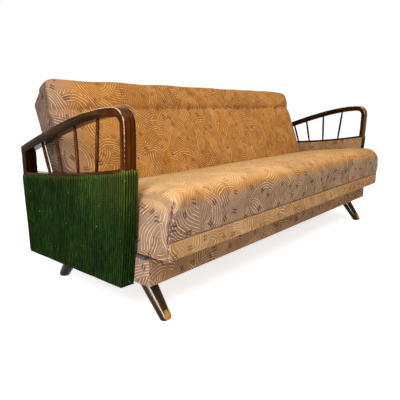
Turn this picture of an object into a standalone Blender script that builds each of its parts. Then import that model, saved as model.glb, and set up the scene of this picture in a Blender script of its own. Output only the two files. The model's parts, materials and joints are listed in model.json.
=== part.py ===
"""Sofa bed with bentwood arms: a back that folds flat and a seat that slides forward with it.

Metres, +Z up, front towards -Y, left towards -X. Pieces are modelled in the arm frame, where y = 0 is the
front of the arms and z = 0 the floor, under an empty that puts the origin at the middle of the footprint.
"""
import math

import bmesh
import bpy
from mathutils import Matrix, Vector

# Fits
CLEARANCE = 0.0003
SLOT_PLAY = 0.0018
STOP_GAP = 0.003
MERGE_DISTANCE = 0.00003

# Arms
OVERALL_WIDTH = 2.050
ARM_THICKNESS = 0.058
ARM_DEPTH = 0.627
ARM_CREST_HEIGHT = 0.727
ARM_REAR_HEIGHT = 0.567
ARM_CORNER_RADIUS = 0.040
BOW_THICKNESS = 0.031
BOW_EASE_SHARE = 0.2
POST_THICKNESS = 0.025
POST_FRONT = -0.005
POST_STRAIGHT_FROM = 0.430
REAR_POST_DEPTH = 0.026
BOW_CROWN_LENGTH = 0.165
COVER_THICKNESS = 0.0035
PANEL_BOTTOM = 0.138
PANEL_FRONT_SETBACK = 0.041
PANEL_REAR_SETBACK = 0.015
HEM_FRONT_HEIGHT = 0.532
HEM_REAR_HEIGHT = 0.454
HEM_DIP_Y = 0.250
HEM_DIP_HEIGHT = 0.477
RAIL_REVEAL = 0.011
RAIL_DEPTH = 0.045
SPINDLE_DIAMETER = 0.013
SPINDLE_END_DIAMETER = 0.0105
SPINDLE_BELLY = (0.333, 0.667)
SPINDLE_FEET = (0.174, 0.280, 0.382, 0.464)
SPINDLE_TOPS = (0.155, 0.287, 0.410, 0.503)

# Base
BASE_BOTTOM = 0.142
BASE_TOP = 0.235
BASE_OVERHANG = 0.043
BASE_REAR = 0.595
BOARD_THICKNESS = 0.020
FLOOR_THICKNESS = 0.006
BEARER_WIDTH = 0.090
BEARER_HEIGHT = 0.020
CENTRE_BEARER_WIDTH = 0.040
RUNNER_LENGTH = 0.380
STRETCHER_DEPTH = 0.040
STRETCHER_HEIGHT = 0.043

# Legs
LEG_INSET = 0.136
LEG_SPLAY = math.radians(38)
FRONT_FOOT_Y = -0.044
REAR_FOOT_Y = 0.587
LEG_TOP_DIAMETER = 0.060
LEG_FOOT_DIAMETER = 0.041
LEG_FOOT_ROUND = ((0.55, -0.25), (0.85, 0.0), (1.0, 0.45))  # radius and height, in foot radii
LEG_PLATE_SIZE = 0.084
LEG_PLATE_THICKNESS = 0.002

# Seat
SEAT_END_GAP = 0.013
SEAT_OVERHANG = 0.117
SEAT_FRONT_LEAN = 0.022
SEAT_UNDERSIDE = 0.245
SEAT_RAIL_HEIGHT = 0.052
SEAT_RAIL_THICKNESS = 0.025
SEAT_DECK_THICKNESS = 0.004
SEAT_FRONT_HEIGHT = 0.474
SEAT_REAR_HEIGHT = 0.412
SEAT_CROWN = 0.022
SEAT_END_CROWN = 0.008
SEAT_CROWN_REACH = 3  # higher carries the crown nearer to the ends
SEAT_CROWN_FULLNESS = 0.7  # lower fills the crown out towards front and rear
SEAT_EDGE_RADIUS = 0.045
SEAT_REAR_RADIUS = 0.026
SEAT_BACK_GAP = 0.009
SOFT_EDGE = 0.016
END_ROUND = 0.014

# Back, measured from its pivot: up along the back, and forwards square to it
BACK_LEAN = math.radians(21)
BACK_TRAVEL = math.radians(69)
PIVOT_Y = 0.472
PIVOT_HEIGHT = 0.370
BACK_END_GAP = 0.022
BACK_FACE = 0.070
BACK_FRAME_THICKNESS = 0.027
BACK_CLOTH_THICKNESS = 0.003
BACK_DROP = 0.115
BACK_FRAME_TOP = 0.395
BACK_TOP = 0.472
BACK_ROLL_SHARE = 0.98
BACK_RAIL_WIDTH = 0.045
BACK_FOOT_RADIUS = 0.035
CREASE_UP = 0.338
CREASE_DEPTH = 0.010
CREASE_WIDTH = 0.030
ROLL_SWELL = 0.007
TUFT_SPACING = 0.225
TUFT_DEPTH = 0.009
TUFT_WIDTH = 0.040
BACK_SWELL = 0.008
BACK_SWELL_REACH = 4  # higher carries the swell nearer to the ends
BACK_SWELL_FADE = 3  # higher keeps the swell nearer to the front face

# Recline fittings
STUD_DIAMETER = 0.014
STUD_FLANGE_DIAMETER = 0.060
STUD_FLANGE_THICKNESS = 0.0035
CRANK_THICKNESS = 0.004
CRANK_EYE_RADIUS = 0.022
CRANK_ARM_UP = 0.070
CRANK_ARM_RADIUS = 0.015
CRANK_PIN_DIAMETER = 0.010
CRANK_PIN_RADIUS = 0.0795
LINK_THICKNESS = 0.003
LINK_ARM_HEIGHT = 0.034
LINK_ARM_LENGTH = 0.160
LINK_HEAD_MARGIN = 0.018
LINK_CORNER_RADIUS = 0.008
CUTTER_OVERRUN = 0.010

# Faces along each kind of round or curve
CURVE_STEPS = 12
ROUND_STEPS = 5
TURNED_STEPS = 20
SPINDLE_STEPS = 10
SEAT_STATIONS = 16
RIM_STEPS = 3
TUFT_STATIONS = 4
SMOOTH_ANGLE = math.radians(45)

# Places worked out from the sizes above
ARM_OUTER_X = OVERALL_WIDTH / 2
ARM_INNER_X = ARM_OUTER_X - ARM_THICKNESS
WOOD_OUTER_X = ARM_OUTER_X - COVER_THICKNESS - CLEARANCE
WOOD_INNER_X = ARM_INNER_X + COVER_THICKNESS + CLEARANCE
BASE_HALF = ARM_INNER_X - CLEARANCE
LEG_X = ARM_OUTER_X - LEG_INSET
SEAT_HALF = ARM_INNER_X - SEAT_END_GAP
BACK_HALF = ARM_INNER_X - BACK_END_GAP
TUFT_COUNT = int(2 * BACK_HALF / TUFT_SPACING)
SEAT_RAIL_TOP = SEAT_UNDERSIDE + SEAT_RAIL_HEIGHT
SEAT_PAD_BOTTOM = SEAT_RAIL_TOP + SEAT_DECK_THICKNESS + 2 * CLEARANCE
PIVOT = Vector((0, PIVOT_Y, PIVOT_HEIGHT))
SIDES = {"left": -1, "right": 1}


def linear(hex_colour):
    """Turn an sRGB hex colour into linear red, green, blue and alpha."""
    channels = [int(hex_colour[i:i + 2], 16) / 255 for i in (1, 3, 5)]
    return [c / 12.92 if c <= 0.04045 else ((c + 0.055) / 1.055) ** 2.4 for c in channels] + [1.0]


def make_material(name, colour, roughness, metallic=0.0):
    """Make a Principled material of one colour."""
    material = bpy.data.materials.new(name)
    material.use_nodes = True
    shader = material.node_tree.nodes["Principled BSDF"]
    shader.inputs["Base Color"].default_value = linear(colour)
    shader.inputs["Roughness"].default_value = roughness
    shader.inputs["Metallic"].default_value = metallic
    return material


def make_collection(name):
    """Make a collection in the scene."""
    collection = bpy.data.collections.new(name)
    bpy.context.scene.collection.children.link(collection)
    return collection


def make_empty(name, location, parent=None, lean=0.0):
    """Add an empty that carries a group of pieces."""
    empty = bpy.data.objects.new(name, None)
    empty.location = location
    empty.rotation_euler = (-lean, 0, 0)
    empty.parent = parent
    parts.objects.link(empty)
    return empty


def add_piece(name, shape, material, parent, location=(0, 0, 0), smooth=False):
    """Make an object of a bmesh, under its parent, and free the bmesh."""
    mesh = bpy.data.meshes.new(name)
    shape.to_mesh(mesh)
    shape.free()
    if smooth:
        mesh.shade_smooth()
        mesh.set_sharp_from_angle(angle=SMOOTH_ANGLE)
    piece = bpy.data.objects.new(name, mesh)
    piece.data.materials.append(material)
    piece.location = location
    piece.parent = parent
    parts.objects.link(piece)
    return piece


def add_cutter(name, shape, parent):
    """Make a hidden tool body for a Boolean modifier."""
    cutter = add_piece(name, shape, steel, parent)
    parts.objects.unlink(cutter)
    cutters.objects.link(cutter)
    cutter.hide_render = True
    cutter.display_type = "WIRE"
    return cutter


def box(x_range, y_range, z_range):
    """A cube primitive stretched between three pairs of faces."""
    shape = bmesh.new()
    bmesh.ops.create_cube(shape, size=1)
    spans = (x_range, y_range, z_range)
    centre = Vector([(low + high) / 2 for low, high in spans])
    scale = Matrix.Diagonal([high - low for low, high in spans])
    bmesh.ops.transform(shape, verts=shape.verts, matrix=Matrix.Translation(centre) @ scale.to_4x4())
    bmesh.ops.recalc_face_normals(shape, faces=shape.faces)
    return shape


def prism(outline, x_range):
    """A side-view outline of (y, z) points, thickened from one x to another."""
    shape = bmesh.new()
    face = shape.faces.new([shape.verts.new((x_range[0], y, z)) for y, z in outline])
    swept = bmesh.ops.extrude_face_region(shape, geom=[face])
    moved = [item for item in swept["geom"] if isinstance(item, bmesh.types.BMVert)]
    bmesh.ops.translate(shape, verts=moved, vec=(x_range[1] - x_range[0], 0, 0))
    bmesh.ops.recalc_face_normals(shape, faces=shape.faces)
    return shape


def loft(sections):
    """A closed body through sections of equal point count, capped at both ends."""
    shape = bmesh.new()
    rings = [[shape.verts.new(point) for point in section] for section in sections]
    for ring, following in zip(rings, rings[1:]):
        for i in range(len(ring)):
            j = (i + 1) % len(ring)
            shape.faces.new((ring[i], ring[j], following[j], following[i]))
    shape.faces.new(rings[0])
    shape.faces.new(rings[-1])
    bmesh.ops.recalc_face_normals(shape, faces=shape.faces)
    if shape.calc_volume(signed=True) < 0:
        bmesh.ops.reverse_faces(shape, faces=shape.faces)
    return shape


def turned(profile, steps):
    """A profile of (radius, height) points revolved about Z, closed on the axis at both ends."""
    shape = bmesh.new()
    points = [(0, profile[0][1])] + list(profile) + [(0, profile[-1][1])]
    line = [shape.verts.new((radius, 0, height)) for radius, height in points]
    edges = [shape.edges.new(pair) for pair in zip(line, line[1:])]
    bmesh.ops.spin(shape, geom=line + edges, cent=(0, 0, 0), axis=(0, 0, 1),
                   angle=math.tau, steps=steps, use_duplicate=False)
    bmesh.ops.remove_doubles(shape, verts=shape.verts, dist=MERGE_DISTANCE)
    bmesh.ops.recalc_face_normals(shape, faces=shape.faces)
    return shape


def bezier(start, bend, end, t):
    """A point on a quadratic curve."""
    return tuple((1 - t) ** 2 * a + 2 * t * (1 - t) * b + t * t * c for a, b, c in zip(start, bend, end))


def bezier_points(start, bend, end, steps=CURVE_STEPS):
    """Evenly stepped points along a quadratic curve."""
    return [bezier(start, bend, end, i / steps) for i in range(steps + 1)]


def facet_at(points, y):
    """The height and slope of a line of (y, z) points at a given y, carried on straight past its ends."""
    pairs = list(zip(points, points[1:]))
    (y0, z0), (y1, z1) = next((pair for pair in pairs if y <= pair[1][0]), pairs[-1])
    slope = (z1 - z0) / (y1 - y0)
    return z0 + slope * (y - y0), slope


def height_at(points, y):
    """The height of a line of (y, z) points at a given y."""
    return facet_at(points, y)[0]


def rounded(corners):
    """A closed outline of (y, z, radius) corners, each rounded by an arc."""
    outline = []
    for i, (y, z, radius) in enumerate(corners):
        corner = Vector((y, z))
        before = (Vector(corners[i - 1][:2]) - corner).normalized()
        after = (Vector(corners[(i + 1) % len(corners)][:2]) - corner).normalized()
        half = before.angle(after) / 2
        middle = corner + (before + after).normalized() * radius / math.sin(half)
        start = corner + before * radius / math.tan(half) - middle
        turn = start.angle_signed(corner + after * radius / math.tan(half) - middle)
        for step in range(ROUND_STEPS + 1):
            outline.append(middle + Matrix.Rotation(-turn * step / ROUND_STEPS, 2) @ start)
    return outline


def inset(outline, distance):
    """Move each point of an anticlockwise or clockwise outline inwards by a distance."""
    area = sum(a[0] * b[1] - b[0] * a[1] for a, b in zip(outline, outline[1:] + outline[:1]))
    moved = []
    for i, point in enumerate(outline):
        along = (Vector(outline[(i + 1) % len(outline)]) - Vector(outline[i - 1])).normalized()
        inwards = Vector((-along.y, along.x)) * math.copysign(1, area)
        moved.append(Vector(point) + inwards * distance)
    return moved


# The arm's lines in the side view, as (y, z) points from the front to the rear

def post_line(offset):
    """The front post's middle line from its foot to the bow's corner, moved forwards by an offset."""
    middle = POST_FRONT + POST_THICKNESS / 2
    corner_start = ARM_CREST_HEIGHT - BOW_THICKNESS / 2 - ARM_CORNER_RADIUS
    foot = (middle + PANEL_FRONT_SETBACK, PANEL_BOTTOM + COVER_THICKNESS + CLEARANCE)
    line = bezier_points(foot, (middle, POST_STRAIGHT_FROM), (middle, corner_start))
    lean = max(abs(b[0] - a[0]) / (b[1] - a[1]) for a, b in zip(line, line[1:]))
    return [(y - offset * math.hypot(1, lean), z) for y, z in line]


def crown_line(offset):
    """The bow's middle line from its corner to the rear, moved up by an offset."""
    middle_z = ARM_CREST_HEIGHT - BOW_THICKNESS / 2
    start_y = POST_FRONT + POST_THICKNESS / 2 + ARM_CORNER_RADIUS
    start = (start_y, middle_z)
    end = (ARM_DEPTH, ARM_REAR_HEIGHT - BOW_THICKNESS / 2)
    return [(y, z + offset) for y, z in bezier_points(start, (start_y + BOW_CROWN_LENGTH, middle_z), end)]


def hem_line(offset):
    """The fabric panel's upper edge, moved up by an offset."""
    front = (POST_FRONT, HEM_FRONT_HEIGHT)
    rear = (ARM_DEPTH, HEM_REAR_HEIGHT)
    return [(y, z + offset) for y, z in bezier_points(front, (HEM_DIP_Y, HEM_DIP_HEIGHT), rear)]


def panel_front(z):
    """The y of the fabric panel's front edge at a height."""
    line = [(height, y) for y, height in post_line(POST_THICKNESS / 2 + CLEARANCE + COVER_THICKNESS)]
    return height_at(line, z)


def panel_outline(margin):
    """The arm panel's side outline, drawn in by a margin on all but its top."""
    bottom = PANEL_BOTTOM + margin
    top_front = height_at(hem_line(0), panel_front(HEM_FRONT_HEIGHT) + margin)
    rises = [bottom + (top_front - bottom) * i / CURVE_STEPS for i in range(CURVE_STEPS)]
    front = [(panel_front(z) + margin, z) for z in rises]
    start = panel_front(top_front) + margin
    end = ARM_DEPTH - margin
    top = [start + (end - start) * i / CURVE_STEPS for i in range(CURVE_STEPS + 1)]
    upper = [(y, height_at(hem_line(0), y)) for y in top]
    return front + upper + [(ARM_DEPTH - PANEL_REAR_SETBACK - margin, bottom)]


def bow_section(centre, along, thickness, side):
    """An eight-cornered section of the bow, square to its line."""
    half_wide = (WOOD_OUTER_X - WOOD_INNER_X) / 2
    half_thick = thickness / 2
    ease = thickness * BOW_EASE_SHARE
    middle_x = (WOOD_OUTER_X + WOOD_INNER_X) / 2
    across = Vector((-along.y, along.x))
    corners = []
    for sx, st in ((1, 1), (-1, 1), (-1, -1), (1, -1)):
        near = (half_wide - ease, half_thick)
        far = (half_wide, half_thick - ease)
        for wide, thick in ((near, far) if sx * st < 0 else (far, near)):
            point = centre + across * thick * st
            corners.append((side * (middle_x + sx * wide), point.x, point.y))
    return corners


def bow_path():
    """The bow's middle line and thickness from the post's foot to the rear end."""
    post = post_line(0)
    crown = crown_line(0)
    centre = Vector((crown[0][0], post[-1][1]))
    arc = []
    for step in range(1, ROUND_STEPS + 1):
        angle = math.pi - math.pi / 2 * step / (ROUND_STEPS + 1)
        arc.append(centre + ARM_CORNER_RADIUS * Vector((math.cos(angle), math.sin(angle))))
    line = [Vector(point) for point in post] + arc + [Vector(point) for point in crown]
    thick = [POST_THICKNESS] * len(post)
    thick += [POST_THICKNESS + (BOW_THICKNESS - POST_THICKNESS) * i / len(arc) for i in range(len(arc))]
    thick += [BOW_THICKNESS] * len(crown)
    return line, thick


def bow_frames():
    """The centre, direction and thickness of each section of the bow."""
    line, thick = bow_path()
    aims = [(after - before).normalized() for before, after in zip(line, line[2:])]
    aims = [Vector((0, 1))] + aims + [Vector((1, 0))]
    return list(zip(line, aims, thick))


def build_bow(name, side):
    """The bent band: front post, rounded corner and falling armrest in one piece."""
    sections = [bow_section(centre, aim, thick, side) for centre, aim, thick in bow_frames()]
    add_piece(f"{name}_arm_bow", loft(sections), walnut, frame_empty, smooth=True)


def bow_underside():
    """The lower face of the bow's armrest as a line of (y, z) points."""
    crown = bow_frames()[-CURVE_STEPS - 1:]
    return [tuple(centre - Vector((-aim.y, aim.x)) * thick / 2) for centre, aim, thick in crown]


def span_x(side, inner, outer):
    """An x range on one side of the sofa, from low to high."""
    return tuple(sorted((side * inner, side * outer)))


def build_arm_frame(name, side):
    """The rear post and the two rails that the fabric panels are tacked to."""
    wood_x = span_x(side, WOOD_INNER_X, WOOD_OUTER_X)
    lining = COVER_THICKNESS + CLEARANCE
    foot = PANEL_BOTTOM + lining
    rear_top = ARM_DEPTH - lining
    rear_foot = rear_top - PANEL_REAR_SETBACK
    front_top = rear_top - REAR_POST_DEPTH
    post = [(rear_foot - REAR_POST_DEPTH, foot), (rear_foot, foot), (rear_top, HEM_REAR_HEIGHT),
            (rear_top, height_at(bow_underside(), rear_top) - CLEARANCE),
            (front_top, height_at(bow_underside(), front_top) - CLEARANCE), (front_top, HEM_REAR_HEIGHT)]
    add_piece(f"{name}_arm_rear_post", prism(post, wood_x), walnut, frame_empty)

    post_rear = [(z, y) for y, z in post_line(-POST_THICKNESS / 2 - CLEARANCE)]
    start = height_at(post_rear, HEM_FRONT_HEIGHT) + CLEARANCE
    end = front_top - CLEARANCE
    steps = [start + (end - start) * i / CURVE_STEPS for i in range(CURVE_STEPS + 1)]
    upper = [(y, height_at(hem_line(RAIL_REVEAL), y)) for y in steps]
    lower = [(y, z - RAIL_DEPTH) for y, z in upper]
    lower[0] = (height_at(post_rear, lower[0][1]) + CLEARANCE, lower[0][1])
    rear_lean = PANEL_REAR_SETBACK * RAIL_DEPTH / (HEM_REAR_HEIGHT - foot)
    lower[-1] = (end - rear_lean, lower[-1][1])
    add_piece(f"{name}_arm_upper_rail", prism(upper + lower[::-1], wood_x), walnut, frame_empty)

    top = foot + RAIL_DEPTH
    rear_start = rear_foot - REAR_POST_DEPTH - CLEARANCE
    bottom_rail = [(height_at(post_rear, foot) + CLEARANCE, foot), (rear_start, foot),
                   (rear_start + rear_lean, top), (height_at(post_rear, top) + CLEARANCE, top)]
    add_piece(f"{name}_arm_lower_rail", prism(bottom_rail, wood_x), pine, frame_empty)


def cut_level(shape, point, normal):
    """Cut away what lies beyond a plane and close the cut."""
    parts_of_shape = shape.verts[:] + shape.edges[:] + shape.faces[:]
    made = bmesh.ops.bisect_plane(shape, geom=parts_of_shape, plane_co=point, plane_no=normal,
                                  clear_outer=True)
    rim = [item for item in made["geom_cut"] if isinstance(item, bmesh.types.BMEdge)]
    bmesh.ops.contextual_create(shape, geom=rim)
    bmesh.ops.recalc_face_normals(shape, faces=shape.faces)


def build_spindles(name, side):
    """Four slim turned spindles that fan out between the upper rail and the bow, cut to fit both."""
    middle_x = side * (WOOD_OUTER_X + WOOD_INNER_X) / 2
    belly = SPINDLE_DIAMETER / 2
    waist = SPINDLE_END_DIAMETER / 2
    for number, (foot_y, top_y) in enumerate(zip(SPINDLE_FEET, SPINDLE_TOPS), start=1):
        foot_z, foot_slope = facet_at(hem_line(RAIL_REVEAL), foot_y)
        top_z, top_slope = facet_at(bow_underside(), top_y)
        foot = Vector((middle_x, foot_y, foot_z))
        axis = Vector((middle_x, top_y, top_z)) - foot
        length = axis.length
        full_from, full_to = [share * length for share in SPINDLE_BELLY]
        profile = [(waist, -belly), (belly, full_from), (belly, full_to), (waist, length + belly)]
        shape = turned(profile[::-1], SPINDLE_STEPS)
        turn = Vector((0, 0, 1)).rotation_difference(axis).to_matrix().to_4x4()
        bmesh.ops.transform(shape, verts=shape.verts, matrix=turn)
        cut_level(shape, (0, 0, CLEARANCE), (0, foot_slope, -1))
        cut_level(shape, axis - Vector((0, 0, CLEARANCE)), (0, -top_slope, 1))
        add_piece(f"{name}_arm_spindle_{number}", shape, walnut, frame_empty, foot, smooth=True)


def build_arm_covers(name, side):
    """The corduroy cover round the outer face and edges, and the patterned inner panel."""
    shape = bmesh.new()
    outline = panel_outline(0)
    verts = [shape.verts.new((side * ARM_OUTER_X, y, z)) for y, z in outline]
    outer = shape.faces.new(verts)
    wrapped = [edge for edge in outer.edges if not is_top_edge(edge, outline)]
    swept = bmesh.ops.extrude_edge_only(shape, edges=wrapped)
    moved = [item for item in swept["geom"] if isinstance(item, bmesh.types.BMVert)]
    bmesh.ops.translate(shape, verts=moved, vec=(-side * ARM_THICKNESS, 0, 0))
    bmesh.ops.recalc_face_normals(shape, faces=shape.faces)
    outer = max(shape.faces, key=lambda face: face.calc_area())
    if outer.normal.x * side < 0:
        bmesh.ops.reverse_faces(shape, faces=shape.faces)
    cover = add_piece(f"{name}_arm_cover", shape, corduroy, frame_empty)
    wall = cover.modifiers.new("wall", "SOLIDIFY")
    wall.thickness = COVER_THICKNESS
    wall.offset = -1
    wall.use_even_offset = True

    inner_x = span_x(side, ARM_INNER_X, ARM_INNER_X + COVER_THICKNESS)
    inner = prism(panel_outline(COVER_THICKNESS + CLEARANCE), inner_x)
    add_piece(f"{name}_arm_inner_panel", inner, moquette, frame_empty)


def is_top_edge(edge, outline):
    """Tell whether an edge of the arm panel lies along its open hem."""
    hem_start = outline[CURVE_STEPS][1]
    return all(vert.co.z >= min(hem_start, HEM_REAR_HEIGHT) - CLEARANCE for vert in edge.verts) and \
        abs(edge.verts[0].co.y - edge.verts[1].co.y) > abs(edge.verts[0].co.z - edge.verts[1].co.z)


def build_base():
    """The fabric-covered base frame with its floor, bearers, runners and rear stretcher."""
    front = -BASE_OVERHANG
    tall = (BASE_BOTTOM, BASE_TOP)
    full = (-BASE_HALF, BASE_HALF)
    inside_y = (front + BOARD_THICKNESS + CLEARANCE, BASE_REAR - BOARD_THICKNESS - CLEARANCE)
    inside_x = BASE_HALF - BOARD_THICKNESS - CLEARANCE
    bearer_top = BASE_BOTTOM + BEARER_HEIGHT
    floor_bottom = bearer_top + CLEARANCE
    floor_top = floor_bottom + FLOOR_THICKNESS
    add_piece("base_front_board", box(full, (front, front + BOARD_THICKNESS), tall), moquette, frame_empty)
    rear_y = (BASE_REAR - BOARD_THICKNESS, BASE_REAR)
    add_piece("base_rear_board", box(full, rear_y, tall), moquette, frame_empty)
    floor_x = (-inside_x, inside_x)
    add_piece("base_floor", box(floor_x, inside_y, (floor_bottom, floor_top)), hardboard, frame_empty)
    centre_x = (-CENTRE_BEARER_WIDTH / 2, CENTRE_BEARER_WIDTH / 2)
    centre_z = (floor_top + CLEARANCE, BASE_TOP)
    add_piece("base_centre_bearer", box(centre_x, inside_y, centre_z), pine, frame_empty)
    stretcher_top = PIVOT_HEIGHT - BACK_FRAME_THICKNESS - BACK_CLOTH_THICKNESS - STOP_GAP
    stretcher_z = (stretcher_top - STRETCHER_HEIGHT, stretcher_top)
    stretcher_y = (BASE_REAR - STRETCHER_DEPTH, BASE_REAR)
    add_piece("rear_stretcher", box(full, stretcher_y, stretcher_z), pine, frame_empty)
    for name, side in SIDES.items():
        end_x = span_x(side, BASE_HALF - BOARD_THICKNESS, BASE_HALF)
        add_piece(f"base_{name}_end", box(end_x, inside_y, tall), moquette, frame_empty)
        bearer_x = span_x(side, LEG_X - BEARER_WIDTH / 2, LEG_X + BEARER_WIDTH / 2)
        bearer = box(bearer_x, inside_y, (BASE_BOTTOM, bearer_top))
        add_piece(f"{name}_leg_bearer", bearer, pine, frame_empty)
        runner_z = (BASE_TOP + CLEARANCE, SEAT_UNDERSIDE - CLEARANCE)
        runner = box(end_x, (inside_y[0], inside_y[0] + RUNNER_LENGTH), runner_z)
        add_piece(f"{name}_seat_runner", runner, beech, frame_empty)


def leg_shape(splay):
    """A tapered round leg with a rounded foot, leaned over and cut level at floor and top."""
    top = BASE_BOTTOM - LEG_PLATE_THICKNESS - 2 * CLEARANCE
    foot = LEG_FOOT_DIAMETER / 2
    head = LEG_TOP_DIAMETER / 2
    reach = (top + head) / math.cos(splay)
    profile = [(foot * radius, foot * height) for radius, height in LEG_FOOT_ROUND]
    profile += [(head, top / math.cos(splay)), (head, reach + head)]
    shape = turned(profile[::-1], TURNED_STEPS)
    bmesh.ops.transform(shape, verts=shape.verts, matrix=Matrix.Rotation(-splay, 4, "X"))
    cut_level(shape, (0, 0, 0), (0, 0, -1))
    cut_level(shape, (0, 0, top), (0, 0, 1))
    return shape


def build_legs():
    """Four splayed legs, each under a steel plate on its bearer."""
    rise = math.tan(LEG_SPLAY) * BASE_BOTTOM
    ends = {"front": (FRONT_FOOT_Y, LEG_SPLAY), "rear": (REAR_FOOT_Y, -LEG_SPLAY)}
    plate_z = (BASE_BOTTOM - LEG_PLATE_THICKNESS - CLEARANCE, BASE_BOTTOM - CLEARANCE)
    half = LEG_PLATE_SIZE / 2
    for end, (foot_y, splay) in ends.items():
        for name, side in SIDES.items():
            place = (side * LEG_X, foot_y, 0)
            add_piece(f"{end}_{name}_leg", leg_shape(splay), lacquer, frame_empty, place, smooth=True)
            head_y = foot_y + math.copysign(rise, splay)
            plate_x = span_x(side, LEG_X - half, LEG_X + half)
            plate = box(plate_x, (head_y - half, head_y + half), plate_z)
            add_piece(f"{end}_{name}_leg_plate", plate, steel, frame_empty)


# The seat

def back_face_y(height):
    """The y of the back's front face at a height, with the back upright."""
    return PIVOT_Y + (height - PIVOT_HEIGHT) * math.tan(BACK_LEAN) - BACK_FACE / math.cos(BACK_LEAN)


def seat_rear_y(height):
    """The y of the seat's rear face at a height, parallel to the back's front face."""
    return back_face_y(height) - SEAT_BACK_GAP / math.cos(BACK_LEAN)


def build_seat_frame():
    """The seat's rails and the webbed deck on them."""
    front = -SEAT_OVERHANG
    rear = seat_rear_y(SEAT_UNDERSIDE)
    tall = (SEAT_UNDERSIDE, SEAT_RAIL_TOP)
    full = (-SEAT_HALF, SEAT_HALF)
    between_y = (front + SEAT_RAIL_THICKNESS + CLEARANCE, rear - SEAT_RAIL_THICKNESS - CLEARANCE)
    front_rail = box(full, (front, front + SEAT_RAIL_THICKNESS), tall)
    add_piece("seat_front_rail", front_rail, moquette, seat_empty)
    add_piece("seat_rear_rail", box(full, (rear - SEAT_RAIL_THICKNESS, rear), tall), pine, seat_empty)
    centre_x = (-SEAT_RAIL_THICKNESS / 2, SEAT_RAIL_THICKNESS / 2)
    add_piece("seat_centre_rail", box(centre_x, between_y, tall), pine, seat_empty)
    for name, side in SIDES.items():
        rail_x = span_x(side, SEAT_HALF - SEAT_RAIL_THICKNESS, SEAT_HALF)
        add_piece(f"seat_{name}_rail", box(rail_x, between_y, tall), moquette, seat_empty)
    deck_z = (SEAT_RAIL_TOP + CLEARANCE, SEAT_RAIL_TOP + CLEARANCE + SEAT_DECK_THICKNESS)
    add_piece("seat_webbing", box(full, (front, rear), deck_z), jute, seat_empty)


def end_stations(half, count):
    """Pairs of x and inset from end to end, with the rims of both ends rounded over."""
    turns = [math.pi / 2 * step / RIM_STEPS for step in range(1, RIM_STEPS + 1)]
    rim = [(half - END_ROUND * (1 - math.sin(t)), END_ROUND * (1 - math.cos(t))) for t in turns]
    body = half - END_ROUND
    middle = [(-body + 2 * body * i / count, 0) for i in range(count + 1)]
    return [(-x, depth) for x, depth in reversed(rim)] + middle + rim


def seat_outline():
    """The seat cushion's end outline of (y, z) points, before its crown."""
    lip = -SEAT_OVERHANG - SEAT_FRONT_LEAN
    return rounded([(-SEAT_OVERHANG, SEAT_PAD_BOTTOM, SOFT_EDGE), (lip, SEAT_FRONT_HEIGHT, SEAT_EDGE_RADIUS),
                    (seat_rear_y(SEAT_REAR_HEIGHT), SEAT_REAR_HEIGHT, SEAT_REAR_RADIUS),
                    (seat_rear_y(SEAT_PAD_BOTTOM), SEAT_PAD_BOTTOM, SOFT_EDGE)])


def build_seat_cushion():
    """The sprung seat: leaning front edge, crowned top and drawn-in ends."""
    outline = seat_outline()
    rounds = ROUND_STEPS + 1
    front_end, rear_start = outline[2 * rounds - 1], outline[2 * rounds]
    top = [front_end.lerp(rear_start, i / CURVE_STEPS) for i in range(1, CURVE_STEPS)]
    outline = outline[:2 * rounds] + top + outline[2 * rounds:]
    first, last = front_end.x, rear_start.x
    sections = []
    for x, depth in end_stations(SEAT_HALF, SEAT_STATIONS):
        lift = SEAT_END_CROWN + SEAT_CROWN * (1 - abs(x / SEAT_HALF) ** SEAT_CROWN_REACH)
        section = []
        for point in inset(outline, depth):
            share = min(max((point.x - first) / (last - first), 0), 1)
            above = (point.y - SEAT_PAD_BOTTOM) / (SEAT_FRONT_HEIGHT - SEAT_PAD_BOTTOM)
            swell = lift * math.sin(math.pi * share) ** SEAT_CROWN_FULLNESS * max(above, 0) ** 2
            section.append((x, point.x, point.y + swell))
        sections.append(section)
    add_piece("seat_cushion", loft(sections), moquette, seat_empty, smooth=True)


# The back, in its own leaned frame: local z runs up the back and local -y faces forwards

def build_back_frame():
    """The back's rails and stiles and the cloth over its rear."""
    deep = (CLEARANCE, BACK_FRAME_THICKNESS)
    full = (-BACK_HALF, BACK_HALF)
    low = -BACK_DROP
    top_rail_z = (BACK_FRAME_TOP - BACK_RAIL_WIDTH, BACK_FRAME_TOP)
    bottom_rail_z = (low, low + BACK_RAIL_WIDTH)
    stile_z = (bottom_rail_z[1] + CLEARANCE, top_rail_z[0] - CLEARANCE)
    add_piece("back_top_rail", box(full, deep, top_rail_z), pine, back_empty)
    add_piece("back_bottom_rail", box(full, deep, bottom_rail_z), pine, back_empty)
    centre_x = (-BACK_RAIL_WIDTH / 2, BACK_RAIL_WIDTH / 2)
    add_piece("back_centre_stile", box(centre_x, deep, stile_z), pine, back_empty)
    for name, side in SIDES.items():
        stile_x = span_x(side, BACK_HALF - BACK_RAIL_WIDTH, BACK_HALF)
        add_piece(f"back_{name}_stile", box(stile_x, deep, stile_z), pine, back_empty)
    cloth_y = (BACK_FRAME_THICKNESS + CLEARANCE, BACK_FRAME_THICKNESS + BACK_CLOTH_THICKNESS)
    cloth = box(full, cloth_y, (low, BACK_FRAME_TOP))
    add_piece("back_rear_cloth", cloth, moquette, back_empty)


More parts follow.
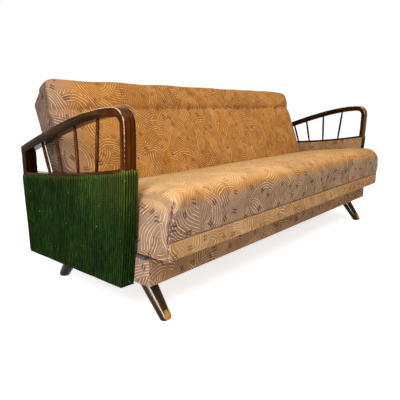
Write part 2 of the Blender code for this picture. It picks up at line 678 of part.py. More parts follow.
def back_outline():
    """The back cushion's end outline of (y, z) points: flat rear, rounded foot and rolled top."""
    roll = BACK_ROLL_SHARE * BACK_FACE / 2
    corners = [(0, -BACK_DROP, SOFT_EDGE), (-BACK_FACE, -BACK_DROP, BACK_FOOT_RADIUS),
               (-BACK_FACE, BACK_TOP, roll), (0, BACK_TOP, roll)]
    outline = rounded(corners)
    rounds = ROUND_STEPS + 1
    start, end = outline[2 * rounds - 1], outline[2 * rounds]
    face_steps = 2 * CURVE_STEPS
    face = [start.lerp(end, i / face_steps) for i in range(1, face_steps)]
    return outline[:2 * rounds] + face + outline[2 * rounds:]


def tuft_pull(x):
    """How hard the nearest tuft pulls at an x, from 0 to 1."""
    nearest = min(abs(x - TUFT_SPACING * (i - (TUFT_COUNT - 1) / 2)) for i in range(TUFT_COUNT))
    return math.exp(-(nearest / TUFT_WIDTH) ** 2)


def build_back_cushion():
    """The back pad: gently crowned face, a tufted crease and a head roll above it."""
    outline = back_outline()
    sections = []
    for x, depth in end_stations(BACK_HALF, TUFT_COUNT * TUFT_STATIONS):
        section = []
        flat = 1 - abs(x / BACK_HALF) ** BACK_SWELL_REACH
        for point in inset(outline, depth):
            front = max(-point.x / BACK_FACE, 0)
            up = point.y
            crease = math.exp(-((up - CREASE_UP) / (CREASE_WIDTH / 2)) ** 2)
            below = math.sin(math.pi * min(max((up + BACK_DROP) / (CREASE_UP + BACK_DROP), 0), 1))
            above = math.sin(math.pi * min(max((up - CREASE_UP) / (BACK_TOP - CREASE_UP), 0), 1))
            swell = BACK_SWELL * flat * below + ROLL_SWELL * above
            swell -= crease * (CREASE_DEPTH + TUFT_DEPTH * tuft_pull(x))
            section.append((x, point.x - front ** BACK_SWELL_FADE * swell, up))
        sections.append(section)
    add_piece("back_cushion", loft(sections), moquette, back_empty, smooth=True)


# The recline fittings in the gap between back and arm

def circle(centre, radius, steps=TURNED_STEPS):
    """Points round a circle in the side view."""
    turns = [math.tau * i / steps for i in range(steps)]
    return [(centre[0] + radius * math.cos(a), centre[1] + radius * math.sin(a)) for a in turns]


def wrapped_outline(discs):
    """The convex outline round a set of discs given as centre and radius."""
    shape = bmesh.new()
    for centre, radius in discs:
        for y, z in circle(centre, radius):
            shape.verts.new((0, y, z))
    hull = bmesh.ops.convex_hull(shape, input=shape.verts)
    rim = {item for item in hull["geom"] if isinstance(item, bmesh.types.BMVert)}
    middle = sum((vert.co for vert in rim), Vector()) / len(rim)
    ordered = sorted(rim, key=lambda vert: math.atan2(vert.co.z - middle.z, vert.co.y - middle.y))
    outline = [(vert.co.y, vert.co.z) for vert in ordered]
    shape.free()
    return outline


def cut(piece, tool, operation="DIFFERENCE"):
    """Add a Boolean modifier."""
    modifier = piece.modifiers.new(tool.name, "BOOLEAN")
    modifier.operation = operation
    modifier.object = tool


def crank_pin_place(turn):
    """The crank pin's (y, z) in the arm frame after the back has turned by an angle."""
    angle = BACK_TRAVEL / 2 - turn
    return (PIVOT_Y + CRANK_PIN_RADIUS * math.sin(angle), PIVOT_HEIGHT - CRANK_PIN_RADIUS * math.cos(angle))


def build_fittings(name, side):
    """Pivot stud on the arm, crank plate on the back's end and slotted link plate on the seat's end."""
    stud_tip = ARM_INNER_X - BACK_END_GAP + CLEARANCE
    flange_face = ARM_INNER_X - CLEARANCE - STUD_FLANGE_THICKNESS
    flange = STUD_FLANGE_DIAMETER / 2
    stud = STUD_DIAMETER / 2
    profile = [(stud, stud_tip), (stud, flange_face), (flange, flange_face), (flange, ARM_INNER_X - CLEARANCE)]
    shape = turned(profile[::-1], TURNED_STEPS)
    bmesh.ops.transform(shape, verts=shape.verts, matrix=Matrix.Rotation(side * math.pi / 2, 4, "Y"))
    add_piece(f"{name}_pivot_stud", shape, steel, frame_empty, PIVOT, smooth=True)

    crank_x = (BACK_HALF + CLEARANCE, BACK_HALF + CLEARANCE + CRANK_THICKNESS)
    pin_angle = BACK_TRAVEL / 2 + BACK_LEAN
    pin = (CRANK_PIN_RADIUS * math.sin(pin_angle), -CRANK_PIN_RADIUS * math.cos(pin_angle))
    arm_end = (BACK_FRAME_THICKNESS / 2, CRANK_ARM_UP)
    discs = [((0, 0), CRANK_EYE_RADIUS), (arm_end, CRANK_ARM_RADIUS), (pin, CRANK_PIN_DIAMETER)]
    plate = prism(wrapped_outline(discs), span_x(side, *crank_x))
    crank = add_piece(f"{name}_crank_plate", plate, steel, back_empty)
    link_x = (SEAT_HALF + CLEARANCE, SEAT_HALF + CLEARANCE + LINK_THICKNESS)
    eye_x = span_x(side, crank_x[0] - CUTTER_OVERRUN, crank_x[1] + CUTTER_OVERRUN)
    eye = prism(circle((0, 0), stud + 2 * CLEARANCE), eye_x)
    cut(crank, add_cutter(f"{name}_crank_eye_cutter", eye, back_empty))
    pin_x = span_x(side, crank_x[0] + CRANK_THICKNESS / 2, link_x[1] + CLEARANCE)
    pin_shape = prism(circle(pin, CRANK_PIN_DIAMETER / 2, SPINDLE_STEPS), pin_x)
    cut(crank, add_cutter(f"{name}_crank_pin_tool", pin_shape, back_empty), "UNION")

    slot_half = CRANK_PIN_DIAMETER / 2 + SLOT_PLAY
    slot_y, slot_top = crank_pin_place(0)
    slot_low = crank_pin_place(BACK_TRAVEL / 2)[1]
    head = slot_half + LINK_HEAD_MARGIN
    arm_start = seat_rear_y(SEAT_UNDERSIDE) - LINK_ARM_LENGTH
    arm_low = SEAT_UNDERSIDE + SEAT_RAIL_HEIGHT / 2 - LINK_ARM_HEIGHT / 2
    ease = LINK_CORNER_RADIUS
    outline = rounded([(arm_start, arm_low, ease), (slot_y + head, arm_low, ease),
                       (slot_y + head, slot_top + head, ease), (slot_y - head, slot_top + head, ease),
                       (slot_y - head - LINK_ARM_HEIGHT, arm_low + LINK_ARM_HEIGHT, ease),
                       (arm_start, arm_low + LINK_ARM_HEIGHT, ease)])
    link = add_piece(f"{name}_link_plate", prism(outline, span_x(side, *link_x)), steel, seat_empty)
    slot = wrapped_outline([((slot_y, slot_top), slot_half), ((slot_y, slot_low), slot_half)])
    slot_shape = prism(slot, span_x(side, link_x[0] - CUTTER_OVERRUN, link_x[1] + CUTTER_OVERRUN))
    cut(link, add_cutter(f"{name}_link_slot_cutter", slot_shape, seat_empty))


for old in list(bpy.data.objects):
    bpy.data.objects.remove(old, do_unlink=True)

parts = make_collection("sofa_bed")
cutters = make_collection("cutters")

walnut = make_material("walnut_stained_beech", "#3A2317", 0.35)
lacquer = make_material("dark_lacquered_beech", "#2B1912", 0.2)
beech = make_material("waxed_beech", "#B98F5E", 0.5)
pine = make_material("sawn_pine", "#C8A676", 0.7)
hardboard = make_material("hardboard", "#7B5738", 0.8)
moquette = make_material("ochre_moquette", "#A98650", 0.9)
corduroy = make_material("green_corduroy", "#22382B", 0.95)
jute = make_material("jute_webbing", "#A98E63", 0.9)
steel = make_material("zinc_plated_steel", "#9C9C99", 0.4, 1.0)

foremost = min(point.x for point in seat_outline())
back_rear = PIVOT_Y + math.cos(BACK_LEAN) * (BACK_FRAME_THICKNESS + BACK_CLOTH_THICKNESS)
back_rear += math.sin(BACK_LEAN) * BACK_FRAME_TOP
rearmost = max(back_rear, ARM_DEPTH)
sofa_empty = make_empty("sofa_bed_origin", (0, -(foremost + rearmost) / 2, 0))
frame_empty = make_empty("frame_group", (0, 0, 0), sofa_empty)
seat_empty = make_empty("seat_group", (0, 0, 0), sofa_empty)
back_empty = make_empty("back_group", PIVOT, sofa_empty, BACK_LEAN)

build_base()
build_legs()
for side_name, side_sign in SIDES.items():
    build_bow(side_name, side_sign)
    build_arm_frame(side_name, side_sign)
    build_spindles(side_name, side_sign)
    build_arm_covers(side_name, side_sign)
    build_fittings(side_name, side_sign)
build_seat_frame()
build_seat_cushion()
build_back_frame()
build_back_cushion()
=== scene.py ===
"""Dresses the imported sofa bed: upholstery, corduroy arms, bentwood, legs and a plain studio stage.

Metres, +Z up, front towards -Y. Side views are drawn in the arm frame, where y = 0 is the front of the arms.
"""

import json
import math

import bpy
import numpy as np
from mathutils import Matrix, Vector, noise


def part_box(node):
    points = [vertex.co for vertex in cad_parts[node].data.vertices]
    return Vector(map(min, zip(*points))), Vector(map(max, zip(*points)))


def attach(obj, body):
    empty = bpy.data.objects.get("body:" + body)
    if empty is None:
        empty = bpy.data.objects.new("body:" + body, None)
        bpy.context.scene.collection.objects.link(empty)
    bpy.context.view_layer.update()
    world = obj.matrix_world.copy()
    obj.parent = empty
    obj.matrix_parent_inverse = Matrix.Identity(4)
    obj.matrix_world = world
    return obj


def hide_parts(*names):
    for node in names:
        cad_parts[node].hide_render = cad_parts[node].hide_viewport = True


bl_info = {
    "name": "Sofa bed dresser",
    "version": (1, 0, 0),
    "blender": (4, 5, 0),
    "location": "View3D > Sidebar > Sofa bed",
    "description": "Upholsters and finishes the packed sofa bed",
    "category": "Object",
}

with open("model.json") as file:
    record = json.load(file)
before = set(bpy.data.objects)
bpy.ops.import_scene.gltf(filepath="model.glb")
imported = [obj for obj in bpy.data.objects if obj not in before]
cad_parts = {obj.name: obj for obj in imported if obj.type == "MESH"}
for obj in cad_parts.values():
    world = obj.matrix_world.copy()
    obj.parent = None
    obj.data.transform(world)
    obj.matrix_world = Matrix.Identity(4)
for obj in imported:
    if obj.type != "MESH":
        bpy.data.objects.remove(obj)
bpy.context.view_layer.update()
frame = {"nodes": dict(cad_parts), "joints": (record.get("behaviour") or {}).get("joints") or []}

# The arm frame: its zero is the front of the arms
ARM_DEPTH = 0.627
COVER_LOW, COVER_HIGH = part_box("left_arm_cover")
ARM_ZERO = COVER_HIGH.y - ARM_DEPTH
ARM_OUTER = -COVER_LOW.x
ARM_INNER = -COVER_HIGH.x
WOOD_LOW, WOOD_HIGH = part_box("left_arm_rear_post")
BASE_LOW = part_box("base_front_board")[0]
BASE_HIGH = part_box("base_rear_board")[1]
BAND_LOW, BAND_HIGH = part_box("seat_front_rail")
SEAT_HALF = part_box("seat_cushion")[1].x
BACK_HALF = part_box("back_cushion")[1].x
PIVOT = Vector(next(j for j in frame["joints"] if j["name"] == "back_recline")["pos_m"])
BACK_LEAN = math.radians(21)
PHOTO_SIZE = 400


def linear(hex_colour):
    """Turn an sRGB hex colour into linear red, green, blue and alpha."""
    channels = [int(hex_colour[i:i + 2], 16) / 255 for i in (1, 3, 5)]
    return [c / 12.92 if c <= 0.04045 else ((c + 0.055) / 1.055) ** 2.4 for c in channels] + [1.0]


def length_property(name, description, default):
    """A length that a user may change, in metres."""
    return bpy.props.FloatProperty(name=name, description=description, default=default, unit="LENGTH",
                                   precision=4)


def colour_property(name, description, hex_colour):
    """A colour that a user may change."""
    return bpy.props.FloatVectorProperty(name=name, description=description, subtype="COLOR", size=4,
                                         min=0, max=1, default=linear(hex_colour))


class SofaSizes(bpy.types.PropertyGroup):
    """Sizes of the upholstery's detail."""
    wale_pitch: length_property("Wale pitch", "From one corduroy wale to the next", 0.0105)
    wale_depth: length_property("Wale depth", "Height of a corduroy wale over its groove", 0.0018)
    repeat_width: length_property("Pattern repeat", "Width of the moquette's repeat", 0.235)
    line_spacing: length_property("Line spacing", "From one woven line of a bundle to the next", 0.0115)
    tuft_spacing: length_property("Tuft spacing", "From one button of the back to the next", 0.225)
    button_diameter: length_property("Button diameter", "Covered buttons of the back", 0.011)
    bow_round: length_property("Bow edge round", "Radius on the long edges of the bentwood", 0.006)


class SofaColours(bpy.types.PropertyGroup):
    """Colours of the finishes."""
    ground: colour_property("Moquette ground", "Ochre ground of the moquette", "#B47D3A")
    shadow: colour_property("Moquette shadow", "Brown beside each line of the moquette", "#87531F")
    figure: colour_property("Moquette figure", "Cream-gold lines of the moquette", "#E4BC7E")
    dash: colour_property("Moquette dashes", "Short brown dashes of the moquette", "#56341C")
    corduroy: colour_property("Corduroy", "Crown of the green wales", "#1F3B0C")
    walnut: colour_property("Bentwood", "Stained and lacquered beech of the arms", "#180A03")
    lacquer: colour_property("Legs", "Dark lacquer of the legs", "#0E0704")


def first_output(node):
    """The first output that a node's settings leave in use."""
    return next(socket for socket in node.outputs if socket.enabled)


def add(tree, kind, inputs=None, **settings):
    """Add a shader node, set its options, and set or link its inputs."""
    node = tree.nodes.new("ShaderNode" + kind)
    for name, value in settings.items():
        setattr(node, name, value)
    for key, value in (inputs or {}).items():
        if isinstance(value, bpy.types.Node):
            value = first_output(value)
        if isinstance(value, bpy.types.NodeSocket):
            tree.links.new(value, node.inputs[key])
        else:
            node.inputs[key].default_value = value
    return node


def start_material(name, roughness, **constants):
    """Make a material and return it with its tree and its Principled shader."""
    material = bpy.data.materials.new(name)
    material.use_nodes = True
    shader = material.node_tree.nodes["Principled BSDF"]
    shader.inputs["Roughness"].default_value = roughness
    for socket, value in constants.items():
        shader.inputs[socket.replace("_", " ")].default_value = value
    return material, material.node_tree, shader


def feed(tree, shader, colour=None, roughness=None, height=None, depth=0.001):
    """Link a material's patterns to its shader."""
    for node, socket in ((colour, "Base Color"), (roughness, "Roughness")):
        if node:
            tree.links.new(first_output(node), shader.inputs[socket])
    if height:
        bump = add(tree, "Bump", {"Distance": depth, "Height": height})
        tree.links.new(bump.outputs["Normal"], shader.inputs["Normal"])


def arc_patches(tree, cloth, spacing):
    """Lay patches of parallel arcs, each turned its own way, with bare ground between them.

    Returns the lines' phase, the ground's depth of colour and the lines' strength.
    """
    patch, bend, margin = 0.13, 0.16, 0.05
    layout = {"Vector": cloth, "Scale": 1 / patch, "Randomness": 0.8}
    cells = add(tree, "TexVoronoi", layout, voronoi_dimensions="2D")
    border = add(tree, "TexVoronoi", layout, voronoi_dimensions="2D", feature="DISTANCE_TO_EDGE")
    chance = add(tree, "SeparateColor", {0: cells.outputs["Color"]})
    local = add(tree, "VectorMath", {0: cloth, 1: cells.outputs["Position"]}, operation="SUBTRACT")
    turn = add(tree, "Math", {0: chance.outputs[0], 1: math.tau}, operation="MULTIPLY")
    laid = add(tree, "VectorRotate", {"Vector": local, "Angle": turn}, rotation_type="Z_AXIS")
    moved = add(tree, "VectorMath", {0: laid, 1: (bend, 0, 0)}, operation="ADD")
    reach = add(tree, "VectorMath", {0: moved}, operation="LENGTH")
    arcs = add(tree, "Math", {0: reach.outputs["Value"], 1: spacing / 2}, operation="PINGPONG")
    inside = add(tree, "Math", {0: border, 1: margin}, operation="GREATER_THAN")
    lines = add(tree, "Mix", {0: inside, 2: spacing / 2, 3: arcs}, data_type="FLOAT")
    strength = add(tree, "MapRange", {"Value": chance.outputs[2], "To Min": 0.3, "To Max": 0.75})
    return lines, chance.outputs[1], strength


def ribbon_layer(tree, cloth, below, cell, shift, turn, radius, half_band, sector, spacing, depth):
    """Weave one layer of curved line bundles over the layer below, one in each cell of a brick layout.

    below holds the lines' phase, the ground's depth of colour and the lines' strength so far. The same three
    are returned, with this layer over them.
    """
    wide, tall = cell
    most_spin, off_centre, strength = 0.6, radius * 0.75, 0.9
    laid = add(tree, "Mapping", {"Vector": cloth, "Location": (*shift, 0), "Rotation": (0, 0, turn),
                                 "Scale": (1 / wide, 1 / tall, 1)}, vector_type="POINT")
    split = add(tree, "SeparateXYZ", {0: laid})
    row = add(tree, "Math", {0: split.outputs[1]}, operation="FLOOR")
    slid = add(tree, "Math", {0: row, 1: 0.5, 2: split.outputs[0]}, operation="MULTIPLY_ADD")
    column = add(tree, "Math", {0: slid}, operation="FLOOR")
    across = add(tree, "Math", {0: slid}, operation="FRACT")
    up = add(tree, "Math", {0: split.outputs[1]}, operation="FRACT")
    cell_id = add(tree, "CombineXYZ", {0: column, 1: row, 2: turn * 10 + 3})
    chance = add(tree, "TexWhiteNoise", {"Vector": cell_id}, noise_dimensions="3D")
    spin = add(tree, "MapRange", {"Value": chance.outputs["Value"],
                                  "To Min": -most_spin, "To Max": most_spin})
    east = add(tree, "Math", {0: across, 1: wide, 2: -wide / 2}, operation="MULTIPLY_ADD")
    north = add(tree, "Math", {0: up, 1: tall, 2: -tall / 2}, operation="MULTIPLY_ADD")
    local = add(tree, "CombineXYZ", {0: east, 1: north})
    turned = add(tree, "VectorRotate", {"Vector": local, "Angle": spin}, rotation_type="Z_AXIS")
    moved = add(tree, "VectorMath", {0: turned, 1: (-off_centre, 0, 0)}, operation="SUBTRACT")
    reach = add(tree, "VectorMath", {0: moved}, operation="LENGTH")
    arc = add(tree, "Math", {0: reach.outputs["Value"], 1: radius}, operation="SUBTRACT")
    off = add(tree, "Math", {0: arc}, operation="ABSOLUTE")
    in_band = add(tree, "Math", {0: off, 1: half_band}, operation="LESS_THAN")
    parts = add(tree, "SeparateXYZ", {0: moved})
    angle = add(tree, "Math", {0: parts.outputs[1], 1: parts.outputs[0]}, operation="ARCTAN2")
    spread = add(tree, "Math", {0: angle}, operation="ABSOLUTE")
    in_sector = add(tree, "Math", {0: spread, 1: sector}, operation="LESS_THAN")
    mask = add(tree, "Math", {0: in_band, 1: in_sector}, operation="MULTIPLY")
    phase = add(tree, "Math", {0: arc, 1: spacing / 2}, operation="PINGPONG")
    return [add(tree, "Mix", {0: mask, 2: under, 3: over}, data_type="FLOAT")
            for under, over in zip(below, (phase, depth, strength))]


def stroke_pairs(tree, cloth):
    """Scatter short strokes in pairs, each pair turned its own way: 1 on a stroke and 0 off it."""
    between = 0.078
    spots = add(tree, "TexVoronoi", {"Vector": cloth, "Scale": 1 / between, "Randomness": 0.85},
                voronoi_dimensions="2D")
    chance = add(tree, "SeparateColor", {0: spots.outputs["Color"]})
    lean = add(tree, "MapRange", {"Value": chance.outputs[0], "To Min": -0.2, "To Max": 1.7})
    local = add(tree, "VectorMath", {0: cloth, 1: spots.outputs["Position"]}, operation="SUBTRACT")
    laid = add(tree, "VectorRotate", {"Vector": local, "Angle": lean}, rotation_type="Z_AXIS")
    parts = add(tree, "SeparateXYZ", {0: laid})
    along = add(tree, "Math", {0: parts.outputs[0]}, operation="ABSOLUTE")
    aside = add(tree, "Math", {0: parts.outputs[1]}, operation="ABSOLUTE")
    # Each stroke of a pair lies 3.5 to 6.5 mm off the middle, and reaches 10 to 19 mm to either end
    apart = add(tree, "MapRange", {"Value": chance.outputs[1], "To Min": 0.0035, "To Max": 0.0065})
    shifted = add(tree, "Math", {0: aside, 1: apart}, operation="SUBTRACT")
    off = add(tree, "Math", {0: shifted}, operation="ABSOLUTE")
    half = add(tree, "MapRange", {"Value": chance.outputs[2], "To Min": 0.010, "To Max": 0.019})
    within_length = add(tree, "MapRange", {"Value": along, "From Min": half, "From Max": 0.009})
    within_width = add(tree, "MapRange", {"Value": off, "From Min": 0.0036, "From Max": 0.0018})
    return add(tree, "Math", {0: within_length, 1: within_width}, operation="MULTIPLY")


def moquette_woven(colours, sizes):
    """Woven wool moquette: a dense short pile with raised cream lines, dull, with a soft bloom at edges."""
    material, tree, shader = start_material("moquette_woven_ochre", 0.92, Sheen_Weight=0.08,
                                            Sheen_Roughness=0.4, Sheen_Tint=linear("#E8CFA8"),
                                            Specular_IOR_Level=0.1)
    flat = add(tree, "UVMap", uv_map="metres").outputs[0]
    spacing = sizes.line_spacing
    wide = sizes.repeat_width
    # The woven lines waver by a few millimetres
    drift = add(tree, "TexNoise", {"Vector": flat, "Scale": 1 / 0.06, "Detail": 1})
    waver = add(tree, "VectorMath", {0: drift.outputs["Color"], 1: (0.5, 0.5, 0.5)}, operation="SUBTRACT")
    cloth = add(tree, "VectorMath", {0: waver, 1: (0.02, 0.02, 0.0), 2: flat}, operation="MULTIPLY_ADD")
    woven = arc_patches(tree, cloth, spacing)
    # Layers of crescent bundles cross over the patches, each layer turned its own way
    for cell, shift, slant, radius, count, sector, depth in (
            ((wide, wide * 0.8), (0.2, 0.1), 0.35, 0.120, 2.7, 0.75, 0.1),
            ((wide * 1.1, wide * 0.85), (0.7, 0.55), 2.6, 0.140, 2.7, 0.65, 0.9),
            ((wide * 0.95, wide * 0.9), (0.45, 0.8), 4.4, 0.095, 1.7, 0.9, 0.5),
            ((wide * 1.2, wide * 0.95), (0.1, 0.35), 5.5, 0.110, 2.7, 0.7, 0.0)):
        woven = ribbon_layer(tree, cloth, woven, cell, shift, slant, radius, count * spacing, sector, spacing,
                             depth)
    lines, depth, strength = woven
    # A cream line of uneven width, a brown shadow beside it, then the ground
    uneven = add(tree, "TexNoise", {"Vector": cloth, "Scale": 1 / 0.025, "Detail": 1})
    width = add(tree, "MapRange", {"Value": uneven, "From Min": 0.3, "From Max": 0.7,
                                   "To Min": spacing * 0.04, "To Max": spacing * 0.13})
    outside = add(tree, "Math", {0: lines, 1: width}, operation="SUBTRACT")
    raised = add(tree, "MapRange", {"Value": outside, "From Min": spacing * 0.07, "From Max": 0.0,
                                    "To Max": strength})
    shadow = add(tree, "MapRange", {"Value": lines, "From Min": spacing * 0.42, "From Max": spacing * 0.25,
                                    "To Max": strength})
    # Painted shade: a mauve copy of each colour, partly the pile's lie; painted light: a pale copy, partly
    # sat-on wear
    nap = add(tree, "Attribute", attribute_name="nap").outputs["Fac"]
    # dull: the share of each colour's mauve copy, which is painted shade
    dull = add(tree, "MapRange", {"Value": nap})
    pale = add(tree, "Attribute", attribute_name="faded").outputs["Fac"]
    tones = []
    for own, mauve_shade, faded in ((colours.ground, "#9A7E66", "#DAB47E"),
                                (colours.shadow, "#664A38", "#BD9056"),
                                (colours.figure, "#DCC4A6", "#F4DCAE")):
        tone = add(tree, "Mix", {0: dull, 6: own, 7: linear(mauve_shade)}, data_type="RGBA")
        tones.append(add(tree, "Mix", {0: pale, 6: tone, 7: linear(faded)}, data_type="RGBA"))
    ground, beside, figure = tones
    deepened = add(tree, "Math", {0: depth, 1: 0.7, 2: shadow}, operation="MULTIPLY_ADD")
    brown = add(tree, "MapRange", {"Value": deepened, "From Max": 1.4})
    tone = add(tree, "Mix", {0: brown, 6: ground, 7: beside}, data_type="RGBA")
    tone = add(tree, "Mix", {0: raised, 6: tone, 7: figure}, data_type="RGBA")
    # The dark strokes stand out more in the mauve painted shade, and show fainter in the pale painted light and
    # wear
    shown = add(tree, "MapRange", {"Value": dull, "To Min": 0.6})
    left = add(tree, "MapRange", {"Value": pale, "To Min": shown, "To Max": 0.4})
    dashes = add(tree, "Math", {0: stroke_pairs(tree, cloth), 1: left}, operation="MULTIPLY")
    tone = add(tree, "Mix", {0: dashes, 6: tone, 7: colours.dash}, data_type="RGBA")
    # Painted shade: a tint above 1 darkens the colour, down to half at 2
    deep = add(tree, "MapRange", {"Value": nap, "From Min": 1.0, "From Max": 2.0,
                                  "To Min": 1.0, "To Max": 0.5})
    # Thread spacing of about 1 mm, drawn at 2 mm so that it shows
    pile = add(tree, "TexNoise", {"Vector": flat, "Scale": 1 / 0.002, "Detail": 2})
    worn = add(tree, "TexNoise", {"Vector": flat, "Scale": 1 / 0.35, "Detail": 3})
    blotch = add(tree, "MapRange", {"Value": worn, "From Min": 0.3, "From Max": 0.7,
                                    "To Min": 0.85, "To Max": 1.1})
    speck = add(tree, "MapRange", {"Value": pile, "From Min": 0.3, "From Max": 0.7,
                                   "To Min": 0.88, "To Max": 1.08})
    for factor in (deep, speck, blotch):
        tone = add(tree, "Mix", {0: 1.0, 6: tone, 7: factor}, data_type="RGBA", blend_type="MULTIPLY")
    height = add(tree, "Math", {0: pile, 1: 0.4, 2: raised}, operation="MULTIPLY_ADD")
    feed(tree, shader, colour=tone, height=height, depth=0.0008)
    return material


def corduroy_cut_pile(colours, sizes):
    """Cut-pile cotton corduroy: soft dull wales, painted near black in the grooves as shade, with pale lint
    caught on them.
    """
    material, tree, shader = start_material("corduroy_cut_pile_green", 0.95, Sheen_Weight=0.03,
                                            Sheen_Roughness=0.5, Sheen_Tint=linear("#9DBF6A"),
                                            Specular_IOR_Level=0.02)
    cloth = add(tree, "UVMap", uv_map="metres").outputs[0]
    split = add(tree, "SeparateXYZ", {0: cloth})
    half_wale = sizes.wale_pitch / 2
    wave = add(tree, "Math", {0: split.outputs[0], 1: half_wale}, operation="PINGPONG")
    crown = add(tree, "MapRange", {"Value": wave, "From Max": half_wale}, interpolation_type="SMOOTHSTEP")
    # Streaks of 22 mm and clumps of 10 mm run along the wales, over nubs of 3 mm and patches of 150 mm
    streaked = add(tree, "Mapping", {"Vector": cloth, "Scale": (1 / 0.022, 1 / 0.3, 1)})
    streak = add(tree, "TexNoise", {"Vector": streaked, "Scale": 1.0, "Detail": 4})
    drawn = add(tree, "Mapping", {"Vector": cloth, "Scale": (1 / 0.010, 1 / 0.035, 1)})
    clump = add(tree, "TexNoise", {"Vector": drawn, "Scale": 1.0, "Detail": 2})
    pile = add(tree, "TexNoise", {"Vector": cloth, "Scale": 1 / 0.003, "Detail": 2})
    patch = add(tree, "TexNoise", {"Vector": cloth, "Scale": 1 / 0.15, "Detail": 2})
    bright = add(tree, "MapRange", {"Value": streak, "From Min": 0.3, "From Max": 0.7})
    green = add(tree, "Mix", {0: bright, 6: linear("#112408"), 7: colours.corduroy}, data_type="RGBA")
    for pattern, least, most in ((pile, 0.3, 1.95), (clump, 0.55, 1.5), (patch, 0.65, 1.1)):
        factor = add(tree, "MapRange", {"Value": pattern, "From Min": 0.35, "From Max": 0.65,
                                        "To Min": least, "To Max": most})
        green = add(tree, "Mix", {0: 1.0, 6: green, 7: factor}, data_type="RGBA", blend_type="MULTIPLY")
    ridge = add(tree, "Math", {0: pile, 1: crown}, operation="MULTIPLY")
    # Painted shade: the grooves between the wales turn near black
    tone = add(tree, "MapRange", {"Value": crown, "From Min": 0.1, "From Max": 0.6})
    green = add(tree, "Mix", {0: tone, 6: linear("#060D03"), 7: green}, data_type="RGBA")
    rubbed = add(tree, "Attribute", attribute_name="nap")
    fade = add(tree, "Math", {0: rubbed.outputs["Fac"], 1: ridge}, operation="MULTIPLY")
    green = add(tree, "Mix", {0: fade, 6: green, 7: linear("#8C9A3C")}, data_type="RGBA")
    lint = add(tree, "TexVoronoi", {"Vector": cloth, "Scale": 1 / 0.13, "Randomness": 1.0},
               voronoi_dimensions="2D")
    fleck = add(tree, "Math", {0: lint.outputs["Distance"], 1: 0.011}, operation="LESS_THAN")
    green = add(tree, "Mix", {0: fleck, 6: green, 7: linear("#8E9C7C")}, data_type="RGBA")
    feed(tree, shader, colour=green, height=pile, depth=0.001)
    return material


def beech_lacquered(name, colour, light, rear_light, wear, varnish, roughness, gloss):
    """Steamed beech, stained and lacquered: streaks along the grain under a clear gloss, pale where rubbed.

    The streaks turn from light at the front to rear_light behind.
    """
    material, tree, shader = start_material(name, roughness, Specular_IOR_Level=gloss,
                                            Specular_Tint=linear(varnish))
    grain = add(tree, "UVMap", uv_map="metres").outputs[0]
    # Rays of 3 mm and figure of 12 mm, drawn out twenty times along the grain
    fine = add(tree, "Mapping", {"Vector": grain, "Scale": (1 / 0.06, 1 / 0.003, 1)})
    streaks = add(tree, "TexNoise", {"Vector": fine, "Scale": 1.0, "Detail": 4, "Distortion": 0.3})
    broad = add(tree, "Mapping", {"Vector": grain, "Scale": (1 / 0.25, 1 / 0.012, 1)})
    figure = add(tree, "TexNoise", {"Vector": broad, "Scale": 1.0, "Detail": 3, "Distortion": 0.6})
    mixed = add(tree, "Mix", {0: 0.5, 2: streaks, 3: figure}, data_type="FLOAT")
    share = add(tree, "MapRange", {"Value": mixed, "From Min": 0.38, "From Max": 0.66})
    place = add(tree, "SeparateXYZ", {0: add(tree, "TexCoord").outputs["Object"]})
    behind = add(tree, "MapRange", {"Value": place.outputs[1], "From Min": -0.24, "From Max": -0.08})
    streak = add(tree, "Mix", {0: behind, 6: linear(light), 7: linear(rear_light)}, data_type="RGBA")
    tone = add(tree, "Mix", {0: share, 6: colour, 7: streak}, data_type="RGBA")
    # Painted shade: darker towards the underside, by the shade attribute
    under = add(tree, "Attribute", attribute_name="shade").outputs["Fac"]
    tone = add(tree, "Mix", {0: under, 6: tone, 7: linear("#0D0502")}, data_type="RGBA")
    rub = add(tree, "Attribute", attribute_name="rubbed")
    scuff = add(tree, "TexNoise", {"Vector": grain, "Scale": 1 / 0.012, "Detail": 5, "Roughness": 0.7})
    amount = add(tree, "Math", {0: rub.outputs["Fac"], 1: scuff}, operation="MULTIPLY")
    bare = add(tree, "MapRange", {"Value": amount, "From Min": 0.34, "From Max": 0.46})
    tone = add(tree, "Mix", {0: bare, 6: tone, 7: linear(wear)}, data_type="RGBA")
    dull = add(tree, "MapRange", {"Value": bare, "To Min": roughness, "To Max": 0.6})
    feed(tree, shader, colour=tone, roughness=dull, height=streaks, depth=0.0002)
    return material


def plain_timber(name, dark, light, roughness, grain_width):
    """Sawn or waxed timber left bare: dull, with streaks along its longest side."""
    material, tree, shader = start_material(name, roughness)
    place = add(tree, "TexCoord").outputs["Object"]
    along, across = 1 / (20 * grain_width), 1 / grain_width
    laid = add(tree, "Mapping", {"Vector": place, "Scale": (along, across, across)})
    streaks = add(tree, "TexNoise", {"Vector": laid, "Scale": 1.0, "Detail": 4, "Distortion": 0.4})
    tone = add(tree, "Mix", {0: streaks, 6: linear(dark), 7: linear(light)}, data_type="RGBA")
    feed(tree, shader, colour=tone, height=streaks, depth=0.0004)
    return material


def webbing_woven():
    """Jute webbing: coarse plain weave of 4 mm, dull and hairy."""
    material, tree, shader = start_material("jute_webbing_woven", 0.95)
    place = add(tree, "TexCoord").outputs["Object"]
    weave = add(tree, "TexChecker", {"Vector": place, "Scale": 1 / 0.004, "Color1": linear("#A98E63"),
                                     "Color2": linear("#8C7349")})
    feed(tree, shader, colour=weave, height=weave, depth=0.0005)
    return material


